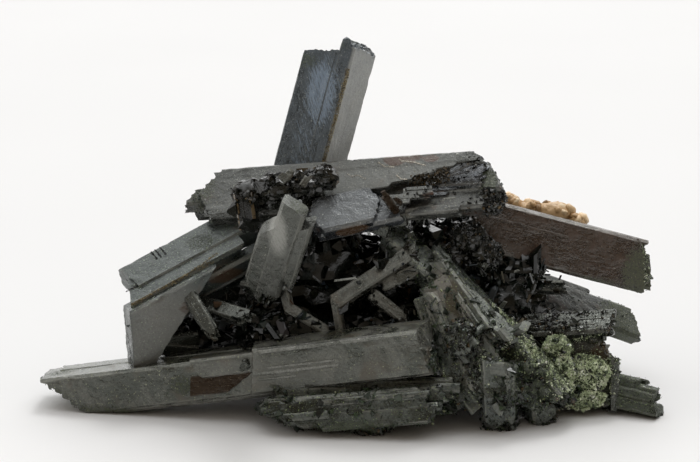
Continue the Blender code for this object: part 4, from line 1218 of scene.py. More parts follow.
# The film mark paints a faint sheen, and the last mark paints the face duller and paler, partly as painted
# light.
HEX_MARKS = (
    ("film", (-2.6, 2.4, 26.4), (3.6, 3.0, 3.0), 0.12),
    ("stain", (-0.6, 1.4, 23.7), (4.6, 1.4, 1.2), 1.2),
    ("matt", (-0.6, 2.0, 26.0), (7.0, 5.0, 3.4), 0.3, (-0.05, -0.62, 0.78)),
)
# The last mark paints the top face duller and paler, partly as painted light.
RIGHT_MARKS = (
    ("green", (39.0, 8.0, 15.0), (4.0, 5.0, 6.0), 0.95), ("green", (29.0, 7.0, 14.6), (9.0, 4.0, 1.6), 0.7),
    ("matt", (27.0, 10.0, 22.0), (14.0, 5.0, 4.0), 0.5, (0.2, 0.1, 0.97)),
)
# The dull marks paint a pale stripe, partly wear and partly a painted highlight; the film mark paints a
# bluish sheen on the lower blocks.
BUNDLE_MARKS = (
    ("green", (22.0, -6.6, 6.0), (7.0, 6.0, 6.0), 0.7), ("green", (26.0, -4.4, 8.0), (4.0, 4.0, 5.0), 0.85),
    ("stain", (13.6, -3.0, 15.0), (3.0, 3.0, 5.0), 0.6), ("matt", (11.4, -3.0, 17.0), (2.2, 3.0, 3.0), 0.9),
    ("matt", (14.4, -4.0, 13.6), (2.0, 3.0, 3.0), 0.9), ("film", (20.0, -8.6, 3.6), (5.0, 4.0, 3.2), 0.8),
)


class Skin(NamedTuple):
    """How a node's crystals are drawn."""

    crystals: list
    look: bpy.types.Material
    detail: dict
    marks: tuple = ()


def detail(rough, groove, chips, extra, splinters, **more):
    """What crystal_surface is told of a node's crystals."""
    return dict(rough=rough, groove=groove, chips=chips, extra=extra, splinters=splinters, **more)


COARSE = dict(pitch=0.4, ring=0.8)  # fewer points, where a crust covers the faces
COARSEST = dict(pitch=0.5, ring=0.9)  # and at the back
SKINS = {
    "upright_prism": Skin(UPRIGHT_PRISM, aegirine_upright,
                          detail(0.4, 0.006, 0.08, 1, 0.1, blunt=((1, -1.86, -1.2, 0.0),)), UPRIGHT_MARKS),
    "upper_blade": Skin(UPPER_BLADE, aegirine,
                        detail(0.5, 0.004, 0.12, 1, 0.6, blunt=((0, -9.0, 3.45, 0.0),)), UPPER_MARKS),
    "left_slab": Skin(LEFT_SLAB, aegirine_slab, detail(0.15, 0.004, 0.10, 1, 0.1, terrace=0.2), SLAB_MARKS),
    "front_blade": Skin(FRONT_BLADE, aegirine_green, detail(0.3, 0.004, 0.12, 1, 0.25), FRONT_MARKS),
    "right_prism": Skin(RIGHT_PRISM, aegirine_brown, detail(0.6, 0.005, 0.12, 1, 0.5), RIGHT_MARKS),
    "near_blade": Skin(NEAR_BLADE, aegirine_near, detail(0.1, 0.0, 0.05, 0, 0.0, terrace=0.15), NEAR_MARKS),
    "back_slab": Skin(BACK_SLAB, aegirine, detail(0.6, 0.03, 0.16, 16, 0.6, **COARSEST)),
    "back_blade": Skin(BACK_BLADE, aegirine_green, detail(0.4, 0.03, 0.16, 14, 0.5, **COARSEST)),
    "rear_prism": Skin(REAR_PRISM, aegirine, detail(0.6, 0.03, 0.16, 12, 0.6, **COARSEST)),
    "low_rear_prism": Skin(LOW_REAR_PRISM, aegirine, detail(0.6, 0.03, 0.16, 12, 0.6, **COARSEST)),
    "hex_plate": Skin(HEX_PLATE, aegirine_hexagon, detail(0.08, 0.0, 0.08, 0, 0.0), HEX_MARKS),
    "right_back_blade": Skin(RIGHT_BACK_BLADE, aegirine, detail(0.7, 0.012, 0.14, 6, 0.9),
                             (("green", (37.0, 12.6, 7.4), (5.0, 5.0, 5.0), 0.9),)),
    "stub_blade": Skin(STUB_BLADE, aegirine_rotten, detail(0.6, 0.02, 0.2, 8, 0.8),
                       (("green", (36.0, -3.0, 2.0), (9.0, 6.0, 6.0), 0.55),)),
    "coated_block": Skin(COATED_BLOCK, aegirine_inner, detail(0.6, 0.03, 0.2, 10, 0.8),
                         (("green", (29.0, -1.6, 4.0), (8.0, 5.0, 3.6), 0.7),
                          ("stain", (33.0, 0.0, 7.4), (3.0, 4.0, 2.4), 0.9))),
    "diagonal_bundle": Skin(DIAGONAL_BUNDLE, aegirine_rotten, detail(0.6, 0.02, 0.3, 4, 0.5, **COARSE),
                            BUNDLE_MARKS),
    "front_splinter": Skin(FRONT_SPLINTER, aegirine_rotten, detail(0.5, 0.02, 0.3, 4, 0.4, **COARSE),
                           (("green", (2.0, -10.4, 1.4), (10.0, 4.0, 2.4), 0.8),)),
}
BROWN_NODES = ("right_prism", "coated_block")
WEDGED = ("diagonal_bundle", "front_splinter")  # their crystals end in a wedge
RIBBED = (*WEDGED, "stub_blade", "coated_block", "back_slab", "back_blade", "rear_prism", "low_rear_prism")
LARGE = 5.0  # a crystal is large when its width and thickness add up to more


def small_blades_on(heap, node, count, rng, reach, widths, sink=0.5, lean=0.9, along=None, weigh=None):
    """Small blades that grow out of a node's surface, in all directions or mostly along one."""
    spots, out = spots_on(node, count, rng, weigh)
    axis = out * rng.uniform(0.15, 1.0, (count, 1)) + rng.normal(0, lean, (count, 3))
    if along is not None:
        ways = rng.choice((1, 1, 1, -1), (count, 1))
        axis = np.array(along) / np.linalg.norm(along) * ways + axis * 0.35
    inward = np.sum(axis * out, 1, keepdims=True)
    axis = axis - out * np.minimum(inward - 0.1, 0)
    axis /= np.linalg.norm(axis, axis=1, keepdims=True)
    width = mixed_sizes(count, *widths, rng, 1.6)
    thick = width * rng.uniform(0.35, 0.9, count)
    length = rng.uniform(*reach, count) * (0.6 + width) + 0.3
    base = spots - out * sink - axis * 0.3
    many_blades(heap, base, axis, rng.normal(size=(count, 3)), width, thick, length, rng)


def lump_grains(heap, lump, count, sizes, shapes, rng):
    """Grains all over a lump."""
    tones = rng.random(count) ** 1.5
    ways = rng.normal(size=(count, 3))
    ways /= np.linalg.norm(ways, axis=1, keepdims=True)
    size = mixed_sizes(count, *sizes, rng)
    spots = np.array(lump.centre) + ways * (np.array(lump.radii) - size[:, None] * 0.8)
    grains(heap, spots, size, shapes, rng, tones)


def end_grains(heap, rng, crystal, count, sizes, shapes, at_tip, reach, dark=2):
    """Grains round the end of a crystal's main lath, thinning out along its sides."""
    tones = rng.random(count) ** dark
    matrix, length = frame_of(crystal)
    lath = laths_of(crystal, length)[0]
    ring = np.array(section_of(lath))
    after = np.roll(ring, -1, 0)
    runs = np.linalg.norm(after - ring, axis=1)
    side = rng.choice(8, count, p=runs / runs.sum())
    share = rng.random((count, 1))
    flat = ring[side] * (1 - share) + after[side] * share
    back = rng.exponential(reach, count)
    inner = rng.random(count) < 0.4
    middle = np.array((lath.x, lath.y))
    flat[inner] = middle + (flat[inner] - middle) * rng.random((inner.sum(), 1)) ** 0.5
    back[inner] = rng.uniform(-0.1, 0.2, inner.sum())
    x, y = flat.T
    if at_tip:
        z = np.min([c + a * x + b * y for c, a, b in lath.tip_cuts], axis=0) - back
    else:
        z = np.max([c + a * x + b * y for c, a, b in lath.base_cuts], axis=0) + back
    size = mixed_sizes(count, *sizes, rng)
    far = np.maximum(np.linalg.norm(flat - middle, axis=1), 0.5)
    flat = middle + (flat - middle) * (1 - size / far)[:, None]
    grains(heap, placed(np.column_stack([flat, z]), matrix), size, shapes, rng, tones)


def seam(heap, rng, crystal, number, start, end, count, sizes, spread, at=0.5, solid=0.0, tones=None):
    """Fine dirt from start to end along a lath, on the bevel between its broad face and its low-x side.

    It lies at a share of the bevel's width. The more solid it is, the fewer gaps it has."""
    matrix, length = frame_of(crystal)
    corner = 2  # of the lath's outline, where that bevel starts
    ring = np.array(section_of(laths_of(crystal, length)[number]))
    a, b = ring[corner], ring[corner + 1]
    share = np.clip(at + rng.normal(0, spread, (count, 1)), -0.1, 1.1)
    flat = a + (b - a) * share
    place = rng.uniform(start, end, count)
    density = smooth_noise(np.stack([place * 0.7, place * 0], -1), number + corner + 5)
    keep = density > rng.uniform(0.1, 0.7, count) - solid
    local = np.column_stack([flat, place])[keep]
    size = mixed_sizes(count, *sizes, rng)[keep]
    grains(heap, placed(local, matrix), size, SHAPES, rng, None if tones is None else tones[keep])


def looking_up(_, out):
    """A weight for faces that look up."""
    return 0.15 + np.clip(out[:, 2], 0, 1)


def crumbs_on(heap, node, count, rng, sizes=(0.03, 0.10)):
    """Tiny loose grains, most of them on faces that look up."""
    spots, out = spots_on(node, count, rng, looking_up)
    size = mixed_sizes(count, *sizes, rng, 3)
    grains(heap, spots - out * size[:, None] * 0.4, size, SHAPES, rng, rng.random(count))


def within(regions):
    """A weight for places near the middle of some regions, each a centre and radii."""
    def weigh(places, _):
        near = [np.exp(-2.0 * np.sum(((places - centre) / radii) ** 2, axis=1)) for centre, radii in regions]
        return sum(near)
    return weigh


def crust_on(heap, rng, node, count, sizes, shapes, tones, pile, *regions):
    """A crust of grains on a node or on some regions of it, heaped up here and there."""
    spots, out = spots_on(node, count, rng, within(regions) if regions else None)
    size = mixed_sizes(count, *sizes, rng)
    raised = pile * np.clip(smooth_noise(spots / 0.9, 77) * 1.8 - 0.5, 0, 1) * rng.random(count)
    shade = tones(spots, rng)
    grains(heap, spots + out * (raised - size * 0.5)[:, None], size, shapes, rng, shade)


def trail(heap, rng, crystal, y, points, count, sizes, wander, tones=None):
    """A thin line of grains on a crystal's face, through points (x, z) of its own frame."""
    matrix, _ = frame_of(crystal)
    points = np.array(points, float)
    runs = np.concatenate([[0.0], np.cumsum(np.linalg.norm(np.diff(points, axis=0), axis=1))])
    place = rng.uniform(0, runs[-1], count)
    x, z = (np.interp(place, runs, points[:, i]) + rng.normal(0, wander, count) for i in (0, 1))
    size = mixed_sizes(count, *sizes, rng)
    grains(heap, placed(np.column_stack([x, np.full(count, y), z]), matrix), size, SHAPES, rng, tones)


def patchy(spots, rng):
    """Tones that run in patches, dark between them."""
    broad = smooth_noise(spots / 1.9, 3) * 0.7 + smooth_noise(spots / 0.8, 4) * 0.3
    return np.clip((broad - 0.26) * 1.8, 0, 1) * 0.75 + rng.random(len(spots)) ** 2 * 0.3


def mossy(spots, rng):
    """Tones that differ from grain to grain as much as from patch to patch."""
    broad = smooth_noise(spots / 1.5, 8) * 0.6 + smooth_noise(spots / 0.6, 9) * 0.4
    return np.clip((broad - 0.34) * 2.4, 0, 1) * 0.40 + rng.random(len(spots)) * 0.62


def mostly_dark(spots, rng):
    """Dark tones, and a few of every other kind."""
    return rng.random(len(spots)) ** 2.2


def dark_blocks(spots, rng):
    """Tones that leave out the palest."""
    return rng.random(len(spots)) ** 1.6 * 0.74


def brown_and_pale(spots, rng):
    """Only the brown and the pale tones of the black grains."""
    return rng.uniform(0.7, 1.0, len(spots))


def shaded_gap(spots, rng):
    """Pale grains, painted dark where one group of them ends and the next starts: painted shade in the gap
    between them.
    """
    return rng.uniform(0.25, 1.0, len(spots)) * np.clip(np.abs(spots[:, 0] - 25.7) / 0.6 - 0.3, 0, 1)


# ---------------------------------------------------------------- the large crystals

surfaces = {}
for number, (node, skin) in enumerate(SKINS.items()):
    surfaces[node] = Heap()
    for i, crystal in enumerate(skin.crystals):
        seed = number * 50 + i
        if isinstance(crystal, Lump):
            lump_surface(surfaces[node], crystal, seed)
            continue
        own_detail = dict(skin.detail)
        if node in WEDGED:
            own_detail["blunt"] = wedge(crystal.seed, 0.3, 0.9)
        if crystal.width + crystal.thick <= LARGE:
            own_detail.pop("blunt", None)
            own_detail.update({key: own_detail[key] * 0.6 for key in ("groove", "chips", "rough")})
            own_detail["extra"] //= 4
        drawn = crystal._replace(ribs=crystal.ribs if node in RIBBED else 0)
        crystal_surface(surfaces[node], drawn, 1000 + seed, **own_detail)

rng = np.random.default_rng(17)
knots = Heap()
for part in UPPER_BLADE + DIAGONAL_BUNDLE + FRONT_SPLINTER:
    if isinstance(part, Lump):
        lump_grains(knots, part, 420, (0.14, 0.5), SHAPES, rng)
end_grains(knots, rng, UPPER_BLADE[0], 260, (0.1, 0.4), BLOCKS, True, 1.2)
end_grains(knots, rng, UPPER_BLADE[0], 160, (0.1, 0.45), BLOCKS, False, 1.5)
end_grains(knots, rng, RIGHT_PRISM[0], 420, (0.08, 0.45), BLOCKS, True, 1.5)
end_grains(knots, rng, FRONT_BLADE[0], 160, (0.08, 0.32), SHAPES, False, 2.0)
crust_on(knots, rng, "coated_block", 2000, (0.08, 0.42), BLOCKS, mostly_dark, 0.35,
         ((27.5, 1.4, 10.4), (5.5, 2.6, 1.6)))
crust_on(knots, rng, "coated_block", 400, (0.06, 0.3), BLOCKS, brown_and_pale, 0.3,
         ((33.6, 0.6, 8.6), (1.6, 2.6, 2.6)))
end_grains(knots, rng, STUB_BLADE[0], 120, (0.08, 0.35), BLOCKS, True, 1.2)
for crystal in DIAGONAL_BUNDLE:
    if isinstance(crystal, Crystal):
        end_grains(knots, rng, crystal, 120, (0.12, 0.5), BLOCKS, True, 1.8, 1.5)
for z in (6.8, 7.4, 8.1):  # three short nicks across the slab, and one along it
    nick_tones = rng.uniform(0.0, 0.4, 130)
    trail(knots, rng, LEFT_SLAB[0], 3.76, ((3.3, z), (1.5, z + 0.15)), 130, (0.05, 0.13), 0.05, nick_tones)
nick_tones = rng.uniform(0.3, 0.9, 160)
trail(knots, rng, LEFT_SLAB[0], 3.5, ((-0.9, 1.2), (-1.0, 4.6)), 160, (0.05, 0.14), 0.08, nick_tones)
knots.piece("dark_grain_crusts", black_grains, "aegirine", (), 20)

bundle = surfaces["diagonal_bundle"]
small_blades_on(bundle, "diagonal_bundle", 150, rng, (0.4, 1.2), (0.6, 1.9), 0.8, 0.2, (15.0, -11.0, -16.0),
                lambda places, _: places[:, 0] < 24.5)
small_blades_on(bundle, "diagonal_bundle", 90, rng, (0.3, 0.8), (0.3, 1.2), 0.4)
small_blades_on(surfaces["front_splinter"], "front_splinter", 50, rng, (0.2, 0.6), (0.4, 0.9), 0.9, 0.15,
                (1.0, -0.1, 0.1))
small_blades_on(surfaces["coated_block"], "coated_block", 140, rng, (0.3, 1.0), (0.2, 0.9), 0.4)
for node, heap in surfaces.items():
    slot = "brown_aegirine" if node in BROWN_NODES else "aegirine"
    heap.piece(node + "_surface", SKINS[node].look, slot, (node,), marks=SKINS[node].marks)


# ---------------------------------------------------------------- the core

rng = np.random.default_rng(7)
core, blades, strays, slivers = Heap(), Heap(), Heap(), Heap()
PALE_BLADES = range(211, 217)  # the seeds of the core's paler blades


def bare_corner(part):
    """Whether a blade would stand in the gap between the upper blade and the right prism."""
    return part.tip[0] > 18.0 and part.tip[1] < 9.0 and part.tip[2] > 14.0


for i, part in enumerate([*JUMBLE, *stray_blades()]):
    if isinstance(part, Lump):
        lump_surface(core, part, 700 + i, 0.2)
    elif not bare_corner(part):
        heap = blades if part.seed in PALE_BLADES else strays
        crystal_surface(heap, part, 1800 + i, 0.5, 0.01, 0.12, 1, 0.6, wedge(i), pitch=0.4)
for part in FILLERS:
    crystal_surface(strays, part, 1900 + part.seed, 0.3, 0.01, 0.06, 1, 0.3, pitch=0.4)
small_blades_on(slivers, "jumble", 300, rng, (0.6, 1.5), (0.5, 1.6), 0.8, 0.7)
small_blades_on(slivers, "jumble", 2200, rng, (0.4, 1.6), (0.12, 0.6))
core.piece("jumble_core", jumble_look, "aegirine", ("jumble",))
blades.piece("jumble_blades", aegirine_pale, "aegirine", ("jumble",))
strays.piece("jumble_stray_blades", aegirine_inner, "aegirine", ("jumble",))
slivers.piece("jumble_slivers", jumble_look, "aegirine", ("jumble",))


# ---------------------------------------------------------------- lumps of grains and crusts


def grain_piece(name, node, parts, look, slot, seed, tones, layers, sharp=20, bumps=0.22, under=0.5):
    """Grains in place of their node, in layers of (count, sizes, shapes)."""
    rng = np.random.default_rng(seed)
    heap = Heap()
    for i, part in enumerate(parts):
        if isinstance(part, Lump):
            lump_surface(heap, part, seed + i, bumps, under)
        else:
            crystal_surface(heap, part, seed + 40 + i, 0.4, 0.02, 0.2, 3, 0.6)
    for count, sizes, shapes in layers:
        spots, out = spots_on(node, count, rng)
        size = mixed_sizes(count, *sizes, rng)
        shade = tones(spots, rng)
        sunk = size * rng.uniform(0.5, 1.0, count)
        grains(heap, spots - out * sunk[:, None], size, shapes, rng, shade)
    return heap.piece(name, look, slot, (node,), sharp)


grain_piece("grain_cap_grains", "grain_cap", GRAIN_CAP, black_grains, "aegirine", 31, mostly_dark,
            ((46, (1.0, 1.9), BLOCKS), (420, (0.35, 1.15), BLOCKS), (900, (0.10, 0.4), SHAPES)))
grain_piece("spark_lump_grains", "spark_lump", SPARK_LUMP, black_grains, "aegirine", 32, mostly_dark,
            ((250, (0.3, 0.9), BLOCKS), (1700, (0.10, 0.34), BLOCKS)))
grain_piece("green_crust_grains", "green_crust", GREEN_CRUST_LUMPS, green_grains, "green_crust", 33, mossy,
            ((160, (0.3, 0.7), SHAPES), (2400, (0.12, 0.36), SHAPES), (9600, (0.07, 0.24), SHAPES)),
            bumps=0.5, under=0.05)
grain_piece("feldspar_grain_row", "feldspar_grains", FELDSPAR_GRAINS, tan_grains, "feldspar", 34, shaded_gap,
            ((150, (0.5, 1.15), ROUND), (260, (0.12, 0.4), SHAPES)), sharp=50, bumps=0.1)

# Node, how many grains, their sizes, shapes and tones, how high they pile, and where on the node they are.
DARK_CRUSTS = (
    ("diagonal_bundle", 6000, (0.05, 0.30), SHAPES, patchy, 0.8),
    ("diagonal_bundle", 700, (0.35, 1.1), BLOCKS, dark_blocks, 0.5),
    ("front_splinter", 2800, (0.05, 0.28), SHAPES, patchy, 0.6),
    ("front_splinter", 340, (0.35, 1.1), BLOCKS, dark_blocks, 0.5),
    ("green_crust", 170, (0.3, 0.8), BLOCKS, dark_blocks, 0.1),
    ("right_back_blade", 500, (0.05, 0.28), SHAPES, patchy, 0.3, ((37.0, 12.6, 7.4), (3.4, 4.0, 3.0))),
    ("stub_blade", 500, (0.05, 0.25), SHAPES, patchy, 0.3),
    ("right_prism", 550, (0.05, 0.28), SHAPES, patchy, 0.3, ((39.0, 8.0, 15.0), (2.4, 4.0, 4.0))),
    ("coated_block", 700, (0.05, 0.28), SHAPES, patchy, 0.3),
    ("front_blade", 500, (0.04, 0.20), SHAPES, patchy, 0.3, ((-36.0, 0.0, 2.0), (4.0, 3.0, 2.0)),
     ((-29.0, -1.4, 0.6), (8.0, 3.0, 0.8)), ((8.0, -8.0, 4.0), (6.0, 3.0, 4.0))),
    ("front_blade", 1000, (0.06, 0.36), SHAPES, patchy, 0.5, ((12.6, -7.4, 8.0), (2.0, 3.0, 3.6))),
    ("front_blade", 120, (0.3, 0.8), BLOCKS, dark_blocks, 0.4, ((12.8, -7.4, 8.0), (1.6, 3.0, 3.6))),
    ("upper_blade", 300, (0.05, 0.3), SHAPES, patchy, 0.3, ((-20.0, 9.0, 25.0), (3.0, 4.0, 3.0)),
     ((18.0, 4.0, 29.0), (1.6, 2.0, 1.6))),
    ("front_splinter", 800, (0.04, 0.20), SHAPES, patchy, 0.3, ((6.6, -10.6, 3.4), (3.0, 2.0, 1.8)),
     ((-8.0, -9.0, 2.4), (3.4, 2.0, 1.6)), ((-1.6, -9.8, 1.6), (3.0, 2.0, 1.4))),
    ("front_blade", 500, (0.04, 0.17), SHAPES, patchy, 0.1, ((-38.0, 0.6, 2.6), (2.0, 3.0, 1.8)),
     ((-31.4, -1.4, 0.8), (1.8, 2.0, 0.8)), ((-20.6, -4.2, 4.4), (1.6, 2.0, 1.2))),
    ("left_slab", 300, (0.03, 0.14), SHAPES, patchy, 0.05, ((-27.4, 4.6, 13.6), (2.0, 2.6, 2.0)),
     ((-20.0, 6.4, 19.0), (4.0, 2.6, 1.6)), ((-28.0, 2.6, 11.6), (1.2, 2.0, 1.6))),
    ("upper_blade", 300, (0.04, 0.17), SHAPES, patchy, 0.1, ((17.8, 6.4, 30.2), (1.3, 1.8, 1.4)),
     ((-20.0, 11.0, 25.0), (1.6, 3.0, 2.0))),
)
GREEN_SPREAD = (
    ("coated_block", 2200, (0.04, 0.20), SHAPES, mossy, 0.4, ((28.6, 0.0, 9.6), (1.8, 2.0, 1.0)),
     ((29.0, -3.0, 5.0), (6.0, 3.0, 3.6))),
    ("diagonal_bundle", 5400, (0.05, 0.28), SHAPES, mossy, 0.5, ((21.6, -4.0, 10.4), (2.2, 3.0, 1.8)),
     ((24.6, -5.6, 8.4), (2.6, 3.0, 2.4)), ((25.6, -5.8, 5.8), (2.0, 3.0, 2.0)),
     ((17.4, -8.0, 8.6), (1.0, 2.0, 1.0)), ((12.4, -7.4, 6.4), (0.8, 2.0, 1.2))),
    ("right_prism", 500, (0.04, 0.20), SHAPES, mossy, 0.3, ((39.2, 8.0, 15.6), (1.6, 3.0, 3.4))),
)

rng = np.random.default_rng(55)
for name, look, slot, rows in (("dark_green_crusts", dark_green_grains, "aegirine", DARK_CRUSTS),
                               ("green_crust_spread", green_grains, "green_crust", GREEN_SPREAD)):
    crust = Heap()
    for row in rows:
        crust_on(crust, rng, *row)
    crust.piece(name, look, slot, (), 20)


# ---------------------------------------------------------------- steps and ledge of the upper blade


def thin_lath(heap, matrix, x, y, wide, thick, low, high, slopes, seed):
    """A flat-sided lath of a crystal, from low to high along it, whose ends slant by slopes."""
    lath = Lath(x, y, wide, thick, ((low, slopes[0], 0.2),), ((high, slopes[1], 0.3),))
    plain_lath(heap, lath, matrix, random.Random(seed))


rng = np.random.default_rng(63)
fan, ledge, facet, ridges = Heap(), Heap(), Heap(), Heap()
matrix, _ = frame_of(UPPER_BLADE[0])
turned = np.array(matrix.to_3x3())
count = 60  # glossy steps that fan out
share = np.sort(rng.random(count))
angle = -0.14 + 0.68 * share + rng.normal(0, 0.05, count)
x = -0.3 + 1.5 * share + rng.normal(0, 0.2, count)
y = -0.5 + 1.0 * share + rng.normal(0, 0.15, count)
start = np.column_stack([x, y, 33.4 + rng.normal(0, 0.4, count)])
axis = np.column_stack([np.sin(angle), rng.normal(0.03, 0.03, count), np.cos(angle)])
face = np.column_stack([rng.normal(0.0, 0.5, count), np.ones(count), rng.normal(0.05, 0.25, count)])
wide, thick, long = (rng.uniform(*limits, count) for limits in ((0.25, 0.8), (0.4, 0.8), (3.4, 5.4)))
many_blades(fan, placed(start, matrix), axis @ turned.T, face @ turned.T, wide, thick, long, rng)
for x, y, wide, low, high in (
        (-0.9, -0.5, 0.7, 28.4, 36.2), (-1.7, -0.6, 0.5, 29.4, 35.4), (-0.3, -0.4, 0.4, 30.4, 35.8)):
    thin_lath(fan, matrix, x, y, wide, 0.6, low, high, (-0.8, 0.9), 4)
# The film mark paints glints on the steps.
fan.piece("upper_blade_steps", glossy_steps, "aegirine", (), 20,
          marks=(("film", (16.0, 6.4, 30.4), (3.4, 3.0, 2.4), 0.75),))
count = 1700  # the brown grainy ledge below the blade's face
z = rng.uniform(28.9, 34.2, count)
share = rng.random(count)
x = (-0.9 + (z - 29) * 0.10) * (1 - share) + (0.2 + (z - 29) * 0.26) * share
local = np.column_stack([x, 0.05 + 1.0 * share + rng.normal(0, 0.12, count), z])
size = 0.06 + 0.22 * rng.random(count) ** 2
grains(ledge, placed(local, matrix), size, BLOCKS, rng, rng.uniform(0.62, 1.0, count))
crust_on(ledge, rng, "upper_blade", 700, (0.08, 0.5), BLOCKS, mostly_dark, 0.5,
         ((18.2, 4.2, 26.4), (2.6, 2.6, 2.6)))
ledge.piece("upper_blade_ledge_grains", black_grains, "aegirine", (), 20)


# ---------------------------------------------------------------- facets, ridges and chips

matrix, _ = frame_of(FRONT_BLADE[0])
tilt = Matrix.Rotation(math.radians(-8.0), 4, (0.0, 0.0, 1.0))
brown_face = Lath(0.0, 0.0, 2.7, 0.7, ((19.6, 0.15, 0.0),), ((26.6, 1.7, 0.0),))
lath_surface(facet, brown_face, matrix @ Matrix.Translation((-0.45, 3.18, 0.0)) @ tilt, 640, 0.1, 0.0, 0.04,
             terrace=0.2)
facet.piece("front_blade_facet", aegirine_facet, "brown_aegirine", ())
# Pale ridges along the front blade, whose paleness is a painted highlight.
for x, y, wide, thick, low, high in (
        (0.3, 3.55, 0.5, 0.9, 27.5, 38.0), (0.95, 3.55, 0.35, 0.9, 30.0, 37.0),
        (-0.5, 3.55, 0.25, 0.9, 27.6, 33.0), (3.2, 3.7, 0.5, 1.7, 30.6, 41.8)):
    thin_lath(ridges, matrix, x, y, wide, thick, low, high, (-0.6, 0.8), 9)
PAINTED_GLINT_CHIPS = (  # base, tip and width of small pale blades all over the front, painted glints
    ((-2.0, -1.9, 17.7), (0.8, -1.7, 18.0), 0.28), ((-9.2, -3.4, 10.4), (-8.8, -3.6, 11.0), 0.4),
    ((-8.5, -3.4, 10.4), (-8.1, -3.6, 10.9), 0.35), ((32.0, 1.2, 8.2), (33.4, 0.9, 9.3), 0.5),
    ((12.0, 2.8, 27.3), (13.6, 2.8, 27.5), 0.3), ((23.0, 1.4, 17.2), (23.8, 1.2, 17.5), 0.4),
    ((26.6, 3.4, 15.9), (27.9, 3.2, 16.0), 0.35), ((19.6, 0.6, 13.2), (20.2, 0.2, 14.2), 0.5),
    ((21.4, 1.4, 17.9), (22.0, 1.2, 18.2), 0.3),
)
for base, tip, wide in PAINTED_GLINT_CHIPS:
    own_frame, length = frame_of(Crystal(base, tip, (0.05, -0.7, 0.7), wide, wide))
    chip = Lath(0.0, 0.0, wide, wide * 0.6, ((0.0, 0.5, 0.0),), ((length, -0.6, 0.0),))
    plain_lath(ridges, chip, own_frame, random.Random(3))
ridges.piece("front_blade_ridges", ridge_highlight, "aegirine", ())

chunks, brown_chips = Heap(), Heap()  # flat chips among the grains of the cap and under the upper blade
for heap, chip in (
        (chunks, Crystal((-9.0, 1.9, 29.9), (-7.4, 2.5, 31.2), (-0.3, -0.8, 0.55), 1.5, 0.7)),
        (chunks, Crystal((-6.2, 1.5, 29.4), (-5.2, 2.2, 30.7), (0.5, -0.7, 0.5), 0.9, 0.5)),
        (chunks, Crystal((7.2, 4.0, 25.0), (12.6, 4.2, 25.7), (0.0, -0.9, 0.4), 1.4, 1.0)),
        (brown_chips, Crystal((5.4, 2.6, 26.6), (4.5, 1.6, 28.1), (-0.3, -0.8, 0.5), 1.1, 0.7)),
        (brown_chips, Crystal((6.6, 2.4, 26.8), (5.9, 1.4, 27.8), (0.4, -0.7, 0.5), 0.7, 0.5))):
    seed, ends = int(abs(chip.base[0]) * 100), wedge(int(chip.width * 10))
    crystal_surface(heap, chip, seed, 0.3, 0.0, 0.08, 0, 0.3, ends, pitch=0.25, ring=0.4)
chunks.piece("flat_chips", aegirine_pale, "aegirine", ())
brown_chips.piece("brown_chips", aegirine_facet, "brown_aegirine", ())


# ---------------------------------------------------------------- veins, specks and dirt

rng = np.random.default_rng(91)
veins, dirt = Heap(), Heap()
for points, count, sizes, wander in (
        (((3.3, 27.4), (2.9, 27.8), (2.7, 28.9), (2.5, 29.6), (2.1, 30.4), (1.9, 31.0)),
         420, (0.05, 0.13), 0.03),
        (((0.6, 27.2), (-0.1, 27.9), (-0.2, 28.6)), 200, (0.05, 0.12), 0.03),
        (((3.0, 24.6), (2.2, 25.5), (2.0, 26.9)), 160, (0.04, 0.10), 0.04),
        (((1.4, 20.6), (0.9, 21.2), (1.1, 22.0), (0.4, 23.0)), 120, (0.04, 0.10), 0.04)):
    trail(veins, rng, UPPER_BLADE[0], 1.2, points, count, sizes, wander)
# Pale specks: dust on the faces, and in the jumble, the bundle and the sparkling lump partly painted glints.
SPECKS = dict(upper_blade=120, hex_plate=220, left_slab=80, front_blade=110, jumble=160, diagonal_bundle=90,
              right_prism=50, grain_cap=40, spark_lump=60)
for node, count in SPECKS.items():
    crumbs_on(veins, node, count, rng, (0.02, 0.08))
veins.piece("pale_veins_and_specks", vein_grains, "feldspar", (), 20)
trail(dirt, rng, LEFT_SLAB[0], 3.5, ((-3.6, 0.6), (-3.6, 9.0), (-2.8, 14.0)), 800, (0.04, 0.13), 0.10)
seam(dirt, rng, UPRIGHT_PRISM[0], 1, 1.0, 24.6, 3600, (0.04, 0.13), 0.22, solid=0.35)
pale_tones = rng.uniform(0.85, 1.0, 1100)
seam(dirt, rng, UPRIGHT_PRISM[0], 1, 3.0, 24.0, 1100, (0.03, 0.08), 0.05, 0.98, 0.3, pale_tones)
seam(dirt, rng, LEFT_SLAB[0], 0, 1.0, 13.0, 700, (0.04, 0.13), 0.3)
CRUMBS = dict(left_slab=420, front_blade=420, hex_plate=150, upper_blade=200, right_prism=300,
              upright_prism=60, jumble=500, grain_cap=60, back_slab=200, rear_prism=60, low_rear_prism=80,
              coated_block=200, diagonal_bundle=260, stub_blade=60, back_blade=150, near_blade=20,
              front_splinter=150)
for node, count in CRUMBS.items():
    crumbs_on(dirt, node, count, rng)
dirt.piece("seam_dirt_crumbs", dirt_grains, "feldspar", (), 20)


# ---------------------------------------------------------------- floor, light and camera

floor_mesh = bpy.data.meshes.new("floor")
floor_mesh.from_pydata([(-4, -4, 0), (4, -4, 0), (4, 4, 0), (-4, 4, 0)], [], [(0, 1, 2, 3)])
floor = bpy.data.objects.new("floor", floor_mesh)
bpy.context.scene.collection.objects.link(floor)
paper = Shader("pale_floor")
where = paper.node("ShaderNodeNewGeometry").outputs["Position"]
